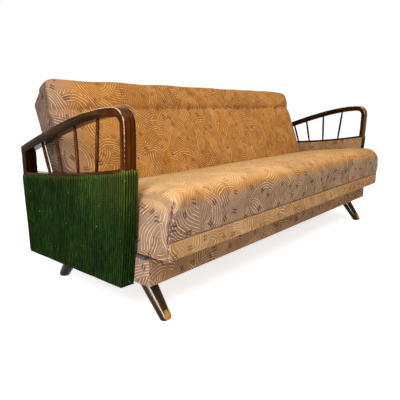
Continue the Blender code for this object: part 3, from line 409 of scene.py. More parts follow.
def steel_zinc_plated():
    """Zinc-plated pressed steel: grey, with a faint spangle and dull patches where it has oxidised."""
    material, tree, shader = start_material("steel_zinc_plated", 0.4, Metallic=1.0)
    place = add(tree, "TexCoord").outputs["Object"]
    spangle = add(tree, "TexVoronoi", {"Vector": place, "Scale": 1 / 0.006})
    split = add(tree, "SeparateColor", {0: spangle.outputs["Color"]})
    tone = add(tree, "Mix", {0: split.outputs[0], 6: linear("#8B8C8A"), 7: linear("#A9AAA6")},
               data_type="RGBA")
    bloom = add(tree, "TexNoise", {"Vector": place, "Scale": 1 / 0.03, "Detail": 3})
    dull = add(tree, "MapRange", {"Value": bloom, "To Min": 0.3, "To Max": 0.6})
    feed(tree, shader, colour=tone, roughness=dull)
    return material


def thread_twisted(name, dark, light):
    """Mercerised cotton thread, sewn or woven: dark, with a slight shine along its twist."""
    material, tree, shader = start_material(name, 0.6)
    place = add(tree, "TexCoord").outputs["Object"]
    twist = add(tree, "TexWave", {"Vector": place, "Scale": 1 / 0.004, "Distortion": 2.0},
                bands_direction="DIAGONAL")
    tone = add(tree, "Mix", {0: twist.outputs["Fac"], 6: linear(dark), 7: linear(light)}, data_type="RGBA")
    feed(tree, shader, colour=tone, height=twist, depth=0.0003)
    return material


FINISHES = {}


def make_finishes(scene):
    """Make every finish once, from the scene's colours and sizes."""
    colours = scene.sofa_colours
    sizes = scene.sofa_sizes
    amber_varnish, clear_varnish = "#FFB058", "#FFF4E6"
    FINISHES["moquette"] = moquette_woven(colours, sizes)
    FINISHES["corduroy"] = corduroy_cut_pile(colours, sizes)
    FINISHES["walnut"] = beech_lacquered("beech_stained_walnut", colours.walnut, "#612E05", "#4C3610",
                                         "#C4AF88", amber_varnish, 0.18, 0.05)
    FINISHES["spindle"] = beech_lacquered("beech_stained_dark", colours.lacquer, "#6B3A1C", "#55301A",
                                          "#8A5A2A", amber_varnish, 0.18, 0.04)
    # The rear post's streaks are near black: its dark stain and painted shade under the armrest
    FINISHES["rear_post"] = beech_lacquered("beech_stained_black", colours.lacquer, "#2B150A", "#2B150A",
                                            "#8A5A2A", amber_varnish, 0.18, 0.04)
    FINISHES["lacquer"] = beech_lacquered("beech_dark_lacquered", colours.lacquer, "#452A0B", "#2A1807",
                                          "#A87B36", clear_varnish, 0.1, 0.12)
    FINISHES["beech"] = plain_timber("beech_waxed", "#20150E", "#302118", 0.8, 0.004)
    FINISHES["pine"] = plain_timber("pine_sawn", "#B38E5C", "#D2B282", 0.75, 0.006)
    FINISHES["jute"] = webbing_woven()
    FINISHES["steel"] = steel_zinc_plated()
    FINISHES["thread"] = thread_twisted("cotton_thread_twisted", "#3E1626", "#682E46")
    FINISHES["button"] = thread_twisted("cotton_button_cloth", "#4A2216", "#6B3522")


def clear_selection():
    """Deselect everything, so that an operator acts on the new piece alone."""
    bpy.ops.object.select_all(action="DESELECT")


def hold(piece):
    """Make a piece the only selected and active object."""
    clear_selection()
    piece.select_set(True)
    bpy.context.view_layer.objects.active = piece


def pick(piece, kind, test):
    """Select only the vertices, edges or faces of a piece that pass a test, and start to edit them."""
    hold(piece)
    mesh = piece.data
    for items in (mesh.vertices, mesh.edges, mesh.polygons):
        items.foreach_set("select", [False] * len(items))
    kinds = ("vertices", "edges", "polygons")
    for item in getattr(mesh, kind):
        item.select = test(item)
    bpy.context.tool_settings.mesh_select_mode = [kind == k for k in kinds]
    bpy.ops.object.mode_set(mode="EDIT")


def finish_edit():
    """Leave edit mode, with vertex selection as it was."""
    bpy.ops.object.mode_set(mode="OBJECT")
    bpy.context.tool_settings.mesh_select_mode = (True, False, False)


def add_block(name, size, middle):
    """Add a block of a size about a middle, ready to be shaped."""
    clear_selection()
    bpy.ops.mesh.primitive_cube_add(size=1, location=(0, 0, 0))
    piece = bpy.context.object
    piece.name = piece.data.name = name
    bpy.ops.transform.resize(value=size)
    bpy.ops.transform.translate(value=middle)
    bpy.ops.object.transform_apply(location=True, rotation=True, scale=True)
    return piece


def add_bead(radius, segments, ring_count, stretch, place):
    """Add a small ball, stretched and then put in its place by a matrix."""
    clear_selection()
    bpy.ops.mesh.primitive_uv_sphere_add(segments=segments, ring_count=ring_count, radius=radius,
                                         location=(0, 0, 0))
    bead = bpy.context.object
    bpy.ops.transform.resize(value=stretch)
    bpy.ops.object.transform_apply(location=True, rotation=True, scale=True)
    bead.data.transform(place)
    bpy.ops.object.shade_smooth()
    return bead


def join_pieces(made, name):
    """Join like pieces into one."""
    hold(made[0])
    for piece in made:
        piece.select_set(True)
    bpy.ops.object.join()
    joined = bpy.context.object
    joined.name = joined.data.name = name
    return joined


def dress(piece, finish):
    """Give a piece one finish."""
    piece.data.materials.clear()
    piece.data.materials.append(FINISHES[finish])


def settle(piece, body, slot, *nodes):
    """Put a finished piece on its body, in place of the CAD nodes that it stands for. The slot is not used."""
    if not piece.data.polygons:
        raise RuntimeError(f"{piece.name} has no faces")
    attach(piece, body)
    if nodes:
        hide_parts(*nodes)


def lay_metres(piece, rule):
    """Give a piece a UV map in metres by a rule of face normal and point."""
    mesh = piece.data
    layer = mesh.uv_layers.get("metres") or mesh.uv_layers.new(name="metres")
    for face in mesh.polygons:
        for corner in face.loop_indices:
            point = mesh.vertices[mesh.loops[corner].vertex_index].co
            layer.data[corner].uv = rule(face.normal, point)


def boxed(normal, point):
    """Lay cloth flat on the side that a face points to: across and up."""
    if abs(normal.x) > max(abs(normal.y), abs(normal.z)):
        return point.y, point.z
    if abs(normal.z) > abs(normal.y):
        return point.x, point.y
    return point.x, point.z


def mark_rubbed(piece, rule):
    """Store how rubbed each point of a wooden piece is, from 0 to 1."""
    attribute = piece.data.attributes.new("rubbed", "FLOAT", "POINT")
    attribute.data.foreach_set("value", [rule(vertex.co) for vertex in piece.data.vertices])


def store_nap_and_shade(piece, rule, name="nap"):
    """Store a tint at each point by a rule: for the mauve tint, 1 is painted shade with the pile's lie, and 2
    is deeper painted shade too.
    """
    attribute = piece.data.attributes.new(name, "FLOAT", "POINT")
    attribute.data.foreach_set("value", [float(rule(v.co, v.normal)) for v in piece.data.vertices])


def mirror_copy(piece, name):
    """Copy a left piece to the right, with its own mesh."""
    copy = piece.copy()
    copy.data = piece.data.copy()
    copy.name = copy.data.name = name
    bpy.context.scene.collection.objects.link(copy)
    copy.data.transform(Matrix.Scale(-1, 4, (1, 0, 0)))
    copy.data.flip_normals()
    return copy


def settle_pair(piece, slot, node):
    """Settle a left piece of the frame and its copy on the right, and return both."""
    right = mirror_copy(piece, piece.name.replace("left", "right"))
    settle(piece, "frame", slot, node)
    settle(right, "frame", slot, node.replace("left", "right"))
    return piece, right


def soften(piece, angle=35):
    """Shade a piece smooth over its rounds, with its flats kept flat."""
    hold(piece)
    bpy.ops.object.shade_smooth_by_angle(angle=math.radians(angle))
    bpy.ops.object.modifier_add(type="WEIGHTED_NORMAL")
    piece.modifiers[-1].keep_sharp = True
    bpy.ops.object.modifier_apply(modifier=piece.modifiers[-1].name)


def draw_plate(name, outline, x_low, x_high, edge, segments=4):
    """Draw a side-view outline vertex by vertex, thicken it across the sofa and round its long edges."""
    clear_selection()
    bpy.ops.mesh.primitive_plane_add(size=0.01, location=(0, 0, 0))
    piece = bpy.context.object
    piece.name = piece.data.name = name
    bpy.ops.object.mode_set(mode="EDIT")
    bpy.ops.mesh.merge(type="CENTER")
    here = Vector((0, 0, 0))
    for i, (y, z) in enumerate(outline):
        there = Vector((x_low, y + ARM_ZERO, z))
        if i == 0:
            bpy.ops.transform.translate(value=there)
        else:
            bpy.ops.mesh.extrude_vertices_move(TRANSFORM_OT_translate={"value": there - here})
        here = there
    bpy.ops.mesh.select_all(action="SELECT")
    bpy.ops.mesh.edge_face_add()
    bpy.ops.mesh.extrude_region_move(TRANSFORM_OT_translate={"value": (x_high - x_low, 0, 0)})
    bpy.ops.mesh.select_all(action="SELECT")
    bpy.ops.mesh.normals_make_consistent(inside=False)
    bpy.ops.object.mode_set(mode="OBJECT")
    ends = [[piece.data.vertices[v].co.x for v in rim.vertices] for rim in piece.data.edges]
    pick(piece, "edges", lambda rim: abs(ends[rim.index][0] - ends[rim.index][1]) < edge / 10)
    bpy.ops.mesh.bevel(offset=edge, segments=segments, affect="EDGES")
    finish_edit()
    soften(piece)
    return piece


def bezier(start, bend, end, steps):
    """Points along a quadratic curve in the side view."""
    shares = [i / steps for i in range(steps + 1)]
    return [tuple((1 - t) ** 2 * a + 2 * t * (1 - t) * b + t * t * c for a, b, c in zip(start, bend, end))
            for t in shares]


def height_at(line, y):
    """The height of a line of (y, z) points at a y."""
    return float(np.interp(y, [p[0] for p in line], [p[1] for p in line]))


def step_up(value, low, high):
    """A smooth step from 0 at low to 1 at high."""
    share = np.clip((value - low) / (high - low), 0, 1)
    return share * share * (3 - 2 * share)


# The arm's lines, as the CAD part draws them
POST_THICKNESS = 0.025
BOW_THICKNESS = 0.031
POST_MIDDLE = 0.0075
POST_STEPS = 16
CORNER_RADIUS = 0.040
CREST = 0.727
ARM_REAR_HEIGHT = 0.567
# How far the wood stands back from the cloth, and how far the panel's rear edge runs forward at its foot
LINING = 0.0038
PANEL_SLANT = 0.015
PANEL_BOTTOM = 0.138
PANEL_FOOT = PANEL_BOTTOM + LINING
PANEL_CORNER = 0.527
HEM_REAR = 0.454
HEM = bezier((-0.005, 0.532), (0.250, 0.477), (ARM_DEPTH, HEM_REAR), 40)
RAIL_REVEAL = 0.011


def bow_path():
    """The bow's middle line as (y, z) points, with its thickness at each."""
    crown_z = CREST - BOW_THICKNESS / 2
    rear = (ARM_DEPTH, ARM_REAR_HEIGHT - BOW_THICKNESS / 2)
    corner = Vector((POST_MIDDLE + CORNER_RADIUS, crown_z - CORNER_RADIUS))
    foot = (POST_MIDDLE + 0.041, PANEL_FOOT)
    post = bezier(foot, (POST_MIDDLE, 0.430), (POST_MIDDLE, corner.y), POST_STEPS)
    turns = [math.pi - math.pi / 2 * i / 10 for i in range(1, 10)]
    arc = [tuple(corner + CORNER_RADIUS * Vector((math.cos(a), math.sin(a)))) for a in turns]
    crown = bezier((corner.x, crown_z), (corner.x + 0.165, crown_z), rear, 30)
    grow = (BOW_THICKNESS - POST_THICKNESS) / len(arc)
    thick = [POST_THICKNESS] * len(post) + [POST_THICKNESS + grow * i for i in range(len(arc))]
    return [Vector(p) for p in post + arc + crown], thick + [BOW_THICKNESS] * len(crown)


POST_LINE = sorted((p.y, p.x) for p in bow_path()[0][:POST_STEPS + 1])


def front_edge(z):
    """The y of the arm panel's front edge at a height."""
    return height_at(POST_LINE, z) - POST_THICKNESS / 2 - LINING


def bow_sides():
    """The bow's outer and inner lines in the side view."""
    path, thick = bow_path()
    aims = [(b - a).normalized() for a, b in zip(path, path[2:])]
    aims = [Vector((0, 1))] + aims + [Vector((1, 0))]
    across = [Vector((-aim.y, aim.x)) for aim in aims]
    outer = [p + n * t / 2 for p, n, t in zip(path, across, thick)]
    inner = [p - n * t / 2 for p, n, t in zip(path, across, thick)]
    return outer, inner


def along_path(path, point):
    """How far along a path of (y, z) points a point lies, and how far aside of it."""
    best = (0.0, 1.0)
    travelled = 0.0
    for a, b in zip(path, path[1:]):
        step = b - a
        share = min(max((point - a).dot(step) / step.length_squared, 0), 1)
        gap = (point - a - step * share).length
        if gap < abs(best[1]):
            side = 1 if step.cross(point - a) > 0 else -1
            best = (travelled + share * step.length, gap * side)
        travelled += step.length
    return best


class SOFA_OT_wooden_arms(bpy.types.Operator):
    """Make the bentwood bows, rear posts, rails and spindles of both arms"""
    bl_idname = "sofa.wooden_arms"
    bl_label = "Wooden arms"

    def execute(self, context):
        """Model the left arm and copy each piece to the right."""
        self.edge = context.scene.sofa_sizes.bow_round
        self.low, self.high = WOOD_LOW.x, WOOD_HIGH.x
        self.middle = (self.high + self.low) / 2
        self.outer, self.inner = bow_sides()
        for make, finish in ((self.bow, "walnut"), (self.rear_post, "rear_post"), (self.upper_rail, "walnut"),
                             (self.spindles, "spindle")):
            for piece, node in make():
                dress(piece, finish)
                settle_pair(piece, "walnut", node)
        return {"FINISHED"}

    def bow(self):
        """The bent band: front post, rounded corner and falling armrest."""
        piece = draw_plate("left_bow", self.outer + self.inner[::-1], self.low, self.high, self.edge)
        path, thick = bow_path()
        marks = np.cumsum([0.0] + [(b - a).length for a, b in zip(path, path[1:])])
        half = (self.high - self.low) / 2
        corner_at, corner_reach, post_end = 0.64, 0.17, 0.6
        where = {tuple(v.co): along_path(path, Vector((v.co.y - ARM_ZERO, v.co.z)))
                 for v in piece.data.vertices}
        lay_metres(piece, lambda normal, p: (where[tuple(p)][0], p.x + where[tuple(p)][1]))

        def rubbed(p):
            """Edges are rubbed most, above all round the front corner."""
            travelled, aside = where[tuple(p)]
            deep = np.interp(travelled, marks, thick) / 2 - abs(aside)
            near_side = max(0, 1 - (half - abs(p.x - self.middle)) / self.edge)
            near_face = max(0, 1 - deep / self.edge)
            corner = math.exp(-((travelled - corner_at) / corner_reach) ** 2)
            handled = 1.15 if aside > 0 else 0.5
            least = 0.6 if travelled < post_end else 0.45
            return handled * min(1, 1.8 * near_side * near_face) * (least + (1 - least) * corner)

        def shaded(p, n):
            """Painted shade: the armrest darkens towards its underside, and on every downward face."""
            travelled, aside = where[tuple(p)]
            lower = 0.85 * step_up(-aside, 0.0, 0.009) * step_up(travelled, post_end, 0.72)
            return max(lower, 0.8 * step_up(-n.z, 0.4, 0.9))

        mark_rubbed(piece, rubbed)
        store_nap_and_shade(piece, shaded, "shade")
        return [(piece, "left_arm_bow")]

    def rear_post(self):
        """The rear post between the base of the panel and the end of the bow."""
        underside = [tuple(p) for p in self.inner if p.x > 0.08]
        rear = ARM_DEPTH - LINING
        front = rear - 0.026
        outline = [(front - PANEL_SLANT, PANEL_FOOT), (rear - PANEL_SLANT, PANEL_FOOT),
                   (rear, HEM_REAR), (rear, height_at(underside, rear)),
                   (front, height_at(underside, front)), (front, HEM_REAR)]
        piece = draw_plate("left_rear_post", outline, self.low, self.high, 0.003)
        lay_metres(piece, lambda normal, p: (p.z, p.x + p.y))
        mark_rubbed(piece, lambda p: 0.2)
        return [(piece, "left_arm_rear_post")]

    def upper_rail(self):
        """The rail that shows as a thin line of wood over the corduroy's hem."""
        start, end, depth = 0.0205, ARM_DEPTH - 0.0302, 0.045
        steps = [start + (end - start) * i / 30 for i in range(31)]
        upper = [(y, height_at(HEM, y) + RAIL_REVEAL) for y in steps]
        lower = [(y, z - depth) for y, z in upper]
        piece = draw_plate("left_upper_rail", upper + lower[::-1], self.low, self.high, 0.004)
        lay_metres(piece, lambda normal, p: (p.y, p.x + p.z))
        mark_rubbed(piece, lambda p: 0.3)
        return [(piece, "left_arm_upper_rail")]

    def spindles(self):
        """Four slim turned spindles, full in the middle and slimmer at their sockets."""
        made = []
        underside = [tuple(p) for p in self.inner if p.x > 0.05]
        socket = 0.004
        feet, tops = (0.174, 0.280, 0.382, 0.464), (0.155, 0.287, 0.410, 0.503)
        for number, (foot_y, top_y) in enumerate(zip(feet, tops), start=1):
            foot = Vector((self.middle, foot_y + ARM_ZERO, height_at(HEM, foot_y) + RAIL_REVEAL - socket))
            top = Vector((self.middle, top_y + ARM_ZERO, height_at(underside, top_y) + socket))
            axis = top - foot
            turn = axis.to_track_quat("Z", "X").to_euler()
            clear_selection()
            bpy.ops.mesh.primitive_cylinder_add(vertices=20, radius=0.0065, depth=axis.length,
                                                location=(foot + top) / 2, rotation=turn)
            piece = bpy.context.object
            piece.name = piece.data.name = f"left_spindle_{number}"
            bpy.ops.object.transform_apply(location=True, rotation=True, scale=True)
            for share in (0.12, 0.34, 0.66, 0.88):
                bpy.ops.object.mode_set(mode="EDIT")
                bpy.ops.mesh.select_all(action="SELECT")
                bpy.ops.mesh.bisect(plane_co=foot + axis * share, plane_no=axis.normalized())
                bpy.ops.object.mode_set(mode="OBJECT")
            for ring, size in ((foot, 0.76), (top, 0.76),
                               (foot + axis * 0.12, 0.9), (foot + axis * 0.88, 0.9)):
                pick(piece, "vertices", lambda v: abs((v.co - ring).dot(axis.normalized())) < 0.001)
                bpy.ops.transform.resize(value=(size, size, size), center_override=ring)
                finish_edit()
            soften(piece, 50)
            lay_metres(piece, lambda normal, p: (p.z, p.x + p.y))
            mark_rubbed(piece, lambda p: 0.25)
            made.append((piece, f"left_arm_spindle_{number}"))
        return made


def skin(name, rings, uvs, closed_rings=True):
    """Build a mesh through rings of points, with a UV per ring and point and the ends closed."""
    count = len(rings[0])
    verts = [tuple(p) for ring in rings for p in ring]
    faces, corners = [], []
    for i in range(len(rings) - 1):
        for k in range(count if closed_rings else count - 1):
            n = (k + 1) % count
            faces.append((i * count + k, i * count + n, (i + 1) * count + n, (i + 1) * count + k))
            corners += [uvs[i][k], uvs[i][k + 1], uvs[i + 1][k + 1], uvs[i + 1][k]]
    if closed_rings:
        last = (len(rings) - 1) * count
        faces.append(tuple(range(count))[::-1])
        corners += [uvs[0][k] for k in range(count)][::-1]
        faces.append(tuple(last + k for k in range(count)))
        corners += [uvs[-1][k] for k in range(count)]
    mesh = bpy.data.meshes.new(name)
    mesh.from_pydata(verts, [], faces)
    layer = mesh.uv_layers.new(name="metres")
    layer.data.foreach_set("uv", [float(c) for pair in corners for c in pair])
    piece = bpy.data.objects.new(name, mesh)
    bpy.context.scene.collection.objects.link(piece)
    hold(piece)
    bpy.ops.object.mode_set(mode="EDIT")
    bpy.ops.mesh.select_all(action="SELECT")
    bpy.ops.mesh.normals_make_consistent(inside=False)
    bpy.ops.object.mode_set(mode="OBJECT")
    bpy.ops.object.shade_smooth()
    return piece


class SOFA_OT_arm_covers(bpy.types.Operator):
    """Make the corduroy covers and the patterned inner panels of both arms"""
    bl_idname = "sofa.arm_covers"
    bl_label = "Arm covers"

    THICK = ARM_OUTER - ARM_INNER
    CORNER = 0.007

    def execute(self, context):
        """Model the left arm's covers and copy them to the right."""
        self.pitch = context.scene.sofa_sizes.wale_pitch
        self.depth = context.scene.sofa_sizes.wale_depth
        for make, finish, node in ((self.cover, "corduroy", "left_arm_cover"),
                                   (self.inner_panel, "moquette", "left_arm_inner_panel")):
            piece = make()
            dress(piece, finish)
            for side in settle_pair(piece, finish, node):
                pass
        return {"FINISHED"}

    def cover(self):
        """Corduroy in upright wales, drawn round the front, outer and rear faces and under the panel."""
        rows = 26
        total = 2 * self.THICK + ARM_DEPTH - 4 * self.CORNER + math.pi * self.CORNER
        columns = int(total / self.pitch * 8)
        run = [total * c / columns for c in range(columns + 1)]
        rings, uvs = [], []
        for row in range(rows + 1):
            rings.append([self.spot(s, row / rows) for s in run])
            uvs.append([(s, p[2]) for s, p in zip(run, rings[-1])])
        rings.insert(0, [(-ARM_INNER - 0.0005, y, PANEL_BOTTOM + 0.0005) for _, y, _ in rings[0]])
        uvs.insert(0, [(s, v - self.THICK) for s, v in uvs[0]])
        piece = skin("left_corduroy_cover", rings, uvs, closed_rings=False)
        store_nap_and_shade(piece, self.worn)
        hold(piece)
        wall = piece.modifiers.new("wall", "SOLIDIFY")
        wall.thickness = 0.0028
        wall.offset = -1
        bpy.ops.object.modifier_apply(modifier=wall.name)
        return piece

    def worn(self, p, n):
        """The corduroy is rubbed yellow along its hem, and turns a little yellow over its upper front half."""
        y = p.y - ARM_ZERO
        hem = step_up(p.z, height_at(HEM, y) - 0.014, height_at(HEM, y)) * (1 if y < 0.02 else 0.5)
        front = step_up(p.z, 0.30, 0.54) * (1 - step_up(y, 0.05, 0.45))
        return 0.9 * hem + 0.30 * front

    def round_arm(self, s):
        """Where a run s round the cover lies, across and along the arm, and which way it faces there."""
        flat = self.THICK - self.CORNER
        bend = math.pi / 2 * self.CORNER
        marks = np.cumsum([flat, bend, ARM_DEPTH - 2 * self.CORNER, bend])
        if s < marks[0]:
            return s, 0.0, (0, -1)
        if s < marks[1]:
            turn = (s - marks[0]) / self.CORNER
            aim = (math.sin(turn), -math.cos(turn))
            return flat + self.CORNER * math.sin(turn), self.CORNER * (1 - math.cos(turn)), aim
        if s < marks[2]:
            return self.THICK, self.CORNER + s - marks[1], (1, 0)
        if s < marks[3]:
            turn = (s - marks[2]) / self.CORNER
            aim = (math.cos(turn), math.sin(turn))
            x = flat + self.CORNER * math.cos(turn)
            return x, ARM_DEPTH - self.CORNER + self.CORNER * math.sin(turn), aim
        return flat - (s - marks[3]), ARM_DEPTH, (0, 1)

    def spot(self, s, t):
        """A point of the cover: s runs round it from inner front to inner rear, t from foot to hem."""
        x, y, aim = self.round_arm(s)
        share = y / ARM_DEPTH
        ragged = 0.3 + 0.7 * (share < 0.03)
        frayed = 0.006 * noise.noise((s / 0.012, 0.3, 0.0)) + 0.003 * abs(math.sin(math.pi * s / self.pitch))
        hem = height_at(HEM, y - 0.005) + ragged * frayed
        z = PANEL_BOTTOM + (hem - PANEL_BOTTOM) * t
        front, rear = front_edge(z), ARM_DEPTH - PANEL_SLANT * max(0, 1 - t * 1.05)
        y = front + (rear - front) * share
        waver = 0.0012 * noise.noise((s / 0.05, z / 0.09, 4.0))
        crown = abs(math.sin(math.pi * (s + waver) / self.pitch)) ** 0.7
        soft = 0.0012 * noise.noise((s / 0.08, z / 0.12, 9.0))
        tuck = 0.0015 * max(0, 1 - t / 0.03) ** 2 + 0.002 * max(0, 1 - (1 - t) / 0.02) ** 2
        out = self.depth * (crown - 1) + soft - tuck
        return (-(ARM_INNER + x + aim[0] * out), y + ARM_ZERO + aim[1] * out, z)

    def inner_panel(self):
        """The patterned cloth panel on the arm's inner side."""
        rises = [PANEL_FOOT + (PANEL_CORNER - PANEL_FOOT) * i / 16 for i in range(16)]
        front = [(front_edge(z) + LINING, z) for z in rises]
        start, end = front_edge(PANEL_CORNER) + LINING, ARM_DEPTH - LINING
        top = [(start + (end - start) * i / 24) for i in range(25)]
        upper = [(y, height_at(HEM, y) - 0.001) for y in top]
        outline = front + upper + [(ARM_DEPTH - PANEL_SLANT - LINING, PANEL_FOOT)]
        piece = draw_plate("left_inner_panel", outline, -ARM_INNER - 0.0035, -ARM_INNER, 0.0015, 2)
        lay_metres(piece, boxed)
        # The whole panel takes the mauve tint of painted shade, and a constant share of the pale tint
        store_nap_and_shade(piece, lambda p, n: 1.0)
        store_nap_and_shade(piece, lambda p, n: 0.45, "faded")
        return piece


class SOFA_OT_base(bpy.types.Operator):
    """Make the cloth-covered base"""
    bl_idname = "sofa.base"
    bl_label = "Base"

    def execute(self, context):
        """Shape the base from a block: rounded upright and lower edges and an open top."""
        board, pocket = 0.020, 0.045
        piece = add_block("base_cover", BASE_HIGH - BASE_LOW, (BASE_LOW + BASE_HIGH) / 2)
        pick(piece, "polygons", lambda face: face.normal.z > 0.9)
        bpy.ops.mesh.inset(thickness=board)
        bpy.ops.mesh.extrude_region_move(TRANSFORM_OT_translate={"value": (0, 0, -pocket)})
        finish_edit()
        points = piece.data.vertices
        outer = {v.index for v in points if min(abs(v.co.y - BASE_LOW.y), abs(v.co.y - BASE_HIGH.y)) < 0.001}
        pick(piece, "edges", lambda edge: all(v in outer for v in edge.vertices))
        bpy.ops.mesh.bevel(offset=0.005, segments=4, affect="EDGES")
        finish_edit()
        soften(piece)
        lay_metres(piece, boxed)
        dress(piece, "moquette")
        # Painted shade: the mauve tint, strongest on the ends that face sideways
        store_nap_and_shade(piece, lambda p, n: 0.6 + 0.4 * abs(n.x))
        settle(piece, "frame", "moquette", "base_front_board", "base_rear_board", "base_left_end",
               "base_right_end", "base_floor", "base_centre_bearer")
        return {"FINISHED"}


LEG_SPLAY = math.radians(38)
FOOT_Y = {"front": -0.044, "rear": 0.587}
FOOT_RADIUS = 0.0205
HEAD_RADIUS = 0.030


class SOFA_OT_legs(bpy.types.Operator):
    """Make the four splayed legs"""
    bl_idname = "sofa.legs"
    bl_label = "Legs"

    def execute(self, context):
        """Shape a tapered leg at the front and one at the rear, and copy each to the right."""
        spare, below_floor = 0.06, 0.006
        for end in ("front", "rear"):
            low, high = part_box(f"{end}_left_leg")
            lean = 1 if end == "front" else -1
            reach = high.z / math.cos(LEG_SPLAY) + spare
            foot = Vector(((low.x + high.x) / 2, FOOT_Y[end] + ARM_ZERO, 0))
            axis = Vector((0, lean * math.sin(LEG_SPLAY), math.cos(LEG_SPLAY)))
            side = Vector((0, math.cos(LEG_SPLAY), -lean * math.sin(LEG_SPLAY)))
            taper = (HEAD_RADIUS - FOOT_RADIUS) * math.cos(LEG_SPLAY) / high.z
            clear_selection()
            bpy.ops.mesh.primitive_cone_add(vertices=48, radius1=FOOT_RADIUS,
                                            radius2=FOOT_RADIUS + taper * reach, depth=reach,
                                            location=foot + axis * (reach / 2 - below_floor),
                                            rotation=axis.to_track_quat("Z", "X").to_euler())
            piece = context.object
            piece.name = piece.data.name = f"{end}_left_turned_leg"
            bpy.ops.object.transform_apply(location=True, rotation=True, scale=True)
            points = piece.data.vertices
            pick(piece, "edges", lambda e: max((points[v].co - foot).dot(axis) for v in e.vertices) < 0.001)
            bpy.ops.mesh.bevel(offset=0.012, segments=5, affect="EDGES")
            for share in (0.15, 0.25, 0.35, 0.45, 0.55, 0.7):
                bpy.ops.mesh.select_all(action="SELECT")
                bpy.ops.mesh.bisect(plane_co=foot + axis * reach * share, plane_no=axis)
            for height, up in ((0.0, False), (high.z, True)):
                bpy.ops.mesh.select_all(action="SELECT")
                bpy.ops.mesh.bisect(plane_co=(0, 0, height), plane_no=(0, 0, 1), use_fill=True,
                                    clear_inner=not up, clear_outer=up)
            finish_edit()
            soften(piece)
            lay_metres(piece, lambda normal, p: ((p - foot).dot(axis), p.x + (p - foot).dot(side) * 0.8))
            wear = 1.3 if end == "front" else 0.5
            mark_rubbed(piece, lambda p: wear * self.kicked(p - foot, axis))
            dress(piece, "lacquer")
            settle_pair(piece, "lacquer", f"{end}_left_leg")
        return {"FINISHED"}

    def kicked(self, p, axis):
        """How far shoes have rubbed the lacquer off: on the front of a leg, most at its foot."""
        around = (p - axis * p.dot(axis)).normalized()
        return step_up(-around.y, 0.1, 0.75) * (1 - step_up(p.z, 0.0, 0.085))


def outline_of(corners, counts, steps):
    """A closed outline of (y, z, radius) corners, each rounded in steps, with counted points between them."""
    arcs = []
    for i, (y, z, radius) in enumerate(corners):
        corner = Vector((y, z))
        before = (Vector(corners[i - 1][:2]) - corner).normalized()
        after = (Vector(corners[(i + 1) % len(corners)][:2]) - corner).normalized()
        half = before.angle(after) / 2
        middle = corner + (before + after).normalized() * radius / math.sin(half)
        start = corner + before * radius / math.tan(half) - middle
        turn = start.angle_signed(corner + after * radius / math.tan(half) - middle)
        arcs.append([middle + Matrix.Rotation(-turn * s / steps, 2) @ start for s in range(steps + 1)])
    points = []
    for i, arc in enumerate(arcs):
        following = arcs[(i + 1) % len(arcs)][0]
        points += arc + [arc[-1].lerp(following, s / counts[i]) for s in range(1, counts[i])]
    return np.array(points)


def inward(points):
    """Unit vectors that point into a closed outline."""
    along = np.roll(points, -1, 0) - np.roll(points, 1, 0)
    along /= np.linalg.norm(along, axis=1)[:, None]
    area = np.sum(points[:, 0] * np.roll(points[:, 1], -1) - np.roll(points[:, 0], -1) * points[:, 1])
    return np.stack([-along[:, 1], along[:, 0]], 1) * np.sign(area)


def arc_lengths(points):
    """Distance run along a closed outline at each point, with the full length last."""
    steps = np.linalg.norm(np.roll(points, -1, 0) - points, axis=1)
    return np.concatenate([[0], np.cumsum(steps)])


def cushion_rings(half, main, ends, rim, turn_in, stations, rim_steps):
    """Rings and UVs of a cushion: its section drawn along the sofa, rounded over into a panel at each end.

    main and ends are the section's (y, z) points along the sofa and at its end panels. rim is how far from
    the end the round starts at each point, and turn_in how far the point moves in by the end.
    """
    run = arc_lengths(main)
    rings, uvs = [], []

    def put(x, section, end_panel):
        """Add one ring."""
        rings.append(np.column_stack([x, section]))
        wrapped = np.vstack([section, section[:1]])
        if end_panel:
            uvs.append([(p[0], p[1]) for p in wrapped])
        else:
            uvs.append(list(zip(np.append(x, x[0]), run)))

    middle = ends.mean(0)
    rounded = ends + turn_in
    turns = [math.pi / 2 * i / rim_steps for i in range(rim_steps + 1)]
    shrinks = (0.97, 0.85, 0.6, 0.3, 0.03)
    for share in reversed(shrinks):
        put(np.full(len(rim), -half), middle + (rounded - middle) * share, True)
    panel_from = 0.8
    for turn in reversed(turns):
        put(-half + rim * (1 - math.sin(turn)), ends + turn_in * (1 - math.cos(turn)), turn > panel_from)
    for i in range(stations + 1):
        put((half - rim) * (2 * i / stations - 1), main, False)
    for turn in turns:
        put(half - rim * (1 - math.sin(turn)), ends + turn_in * (1 - math.cos(turn)), turn > panel_from)
    for share in shrinks:
        put(np.full(len(rim), half), middle + (rounded - middle) * share, True)
    return rings, uvs


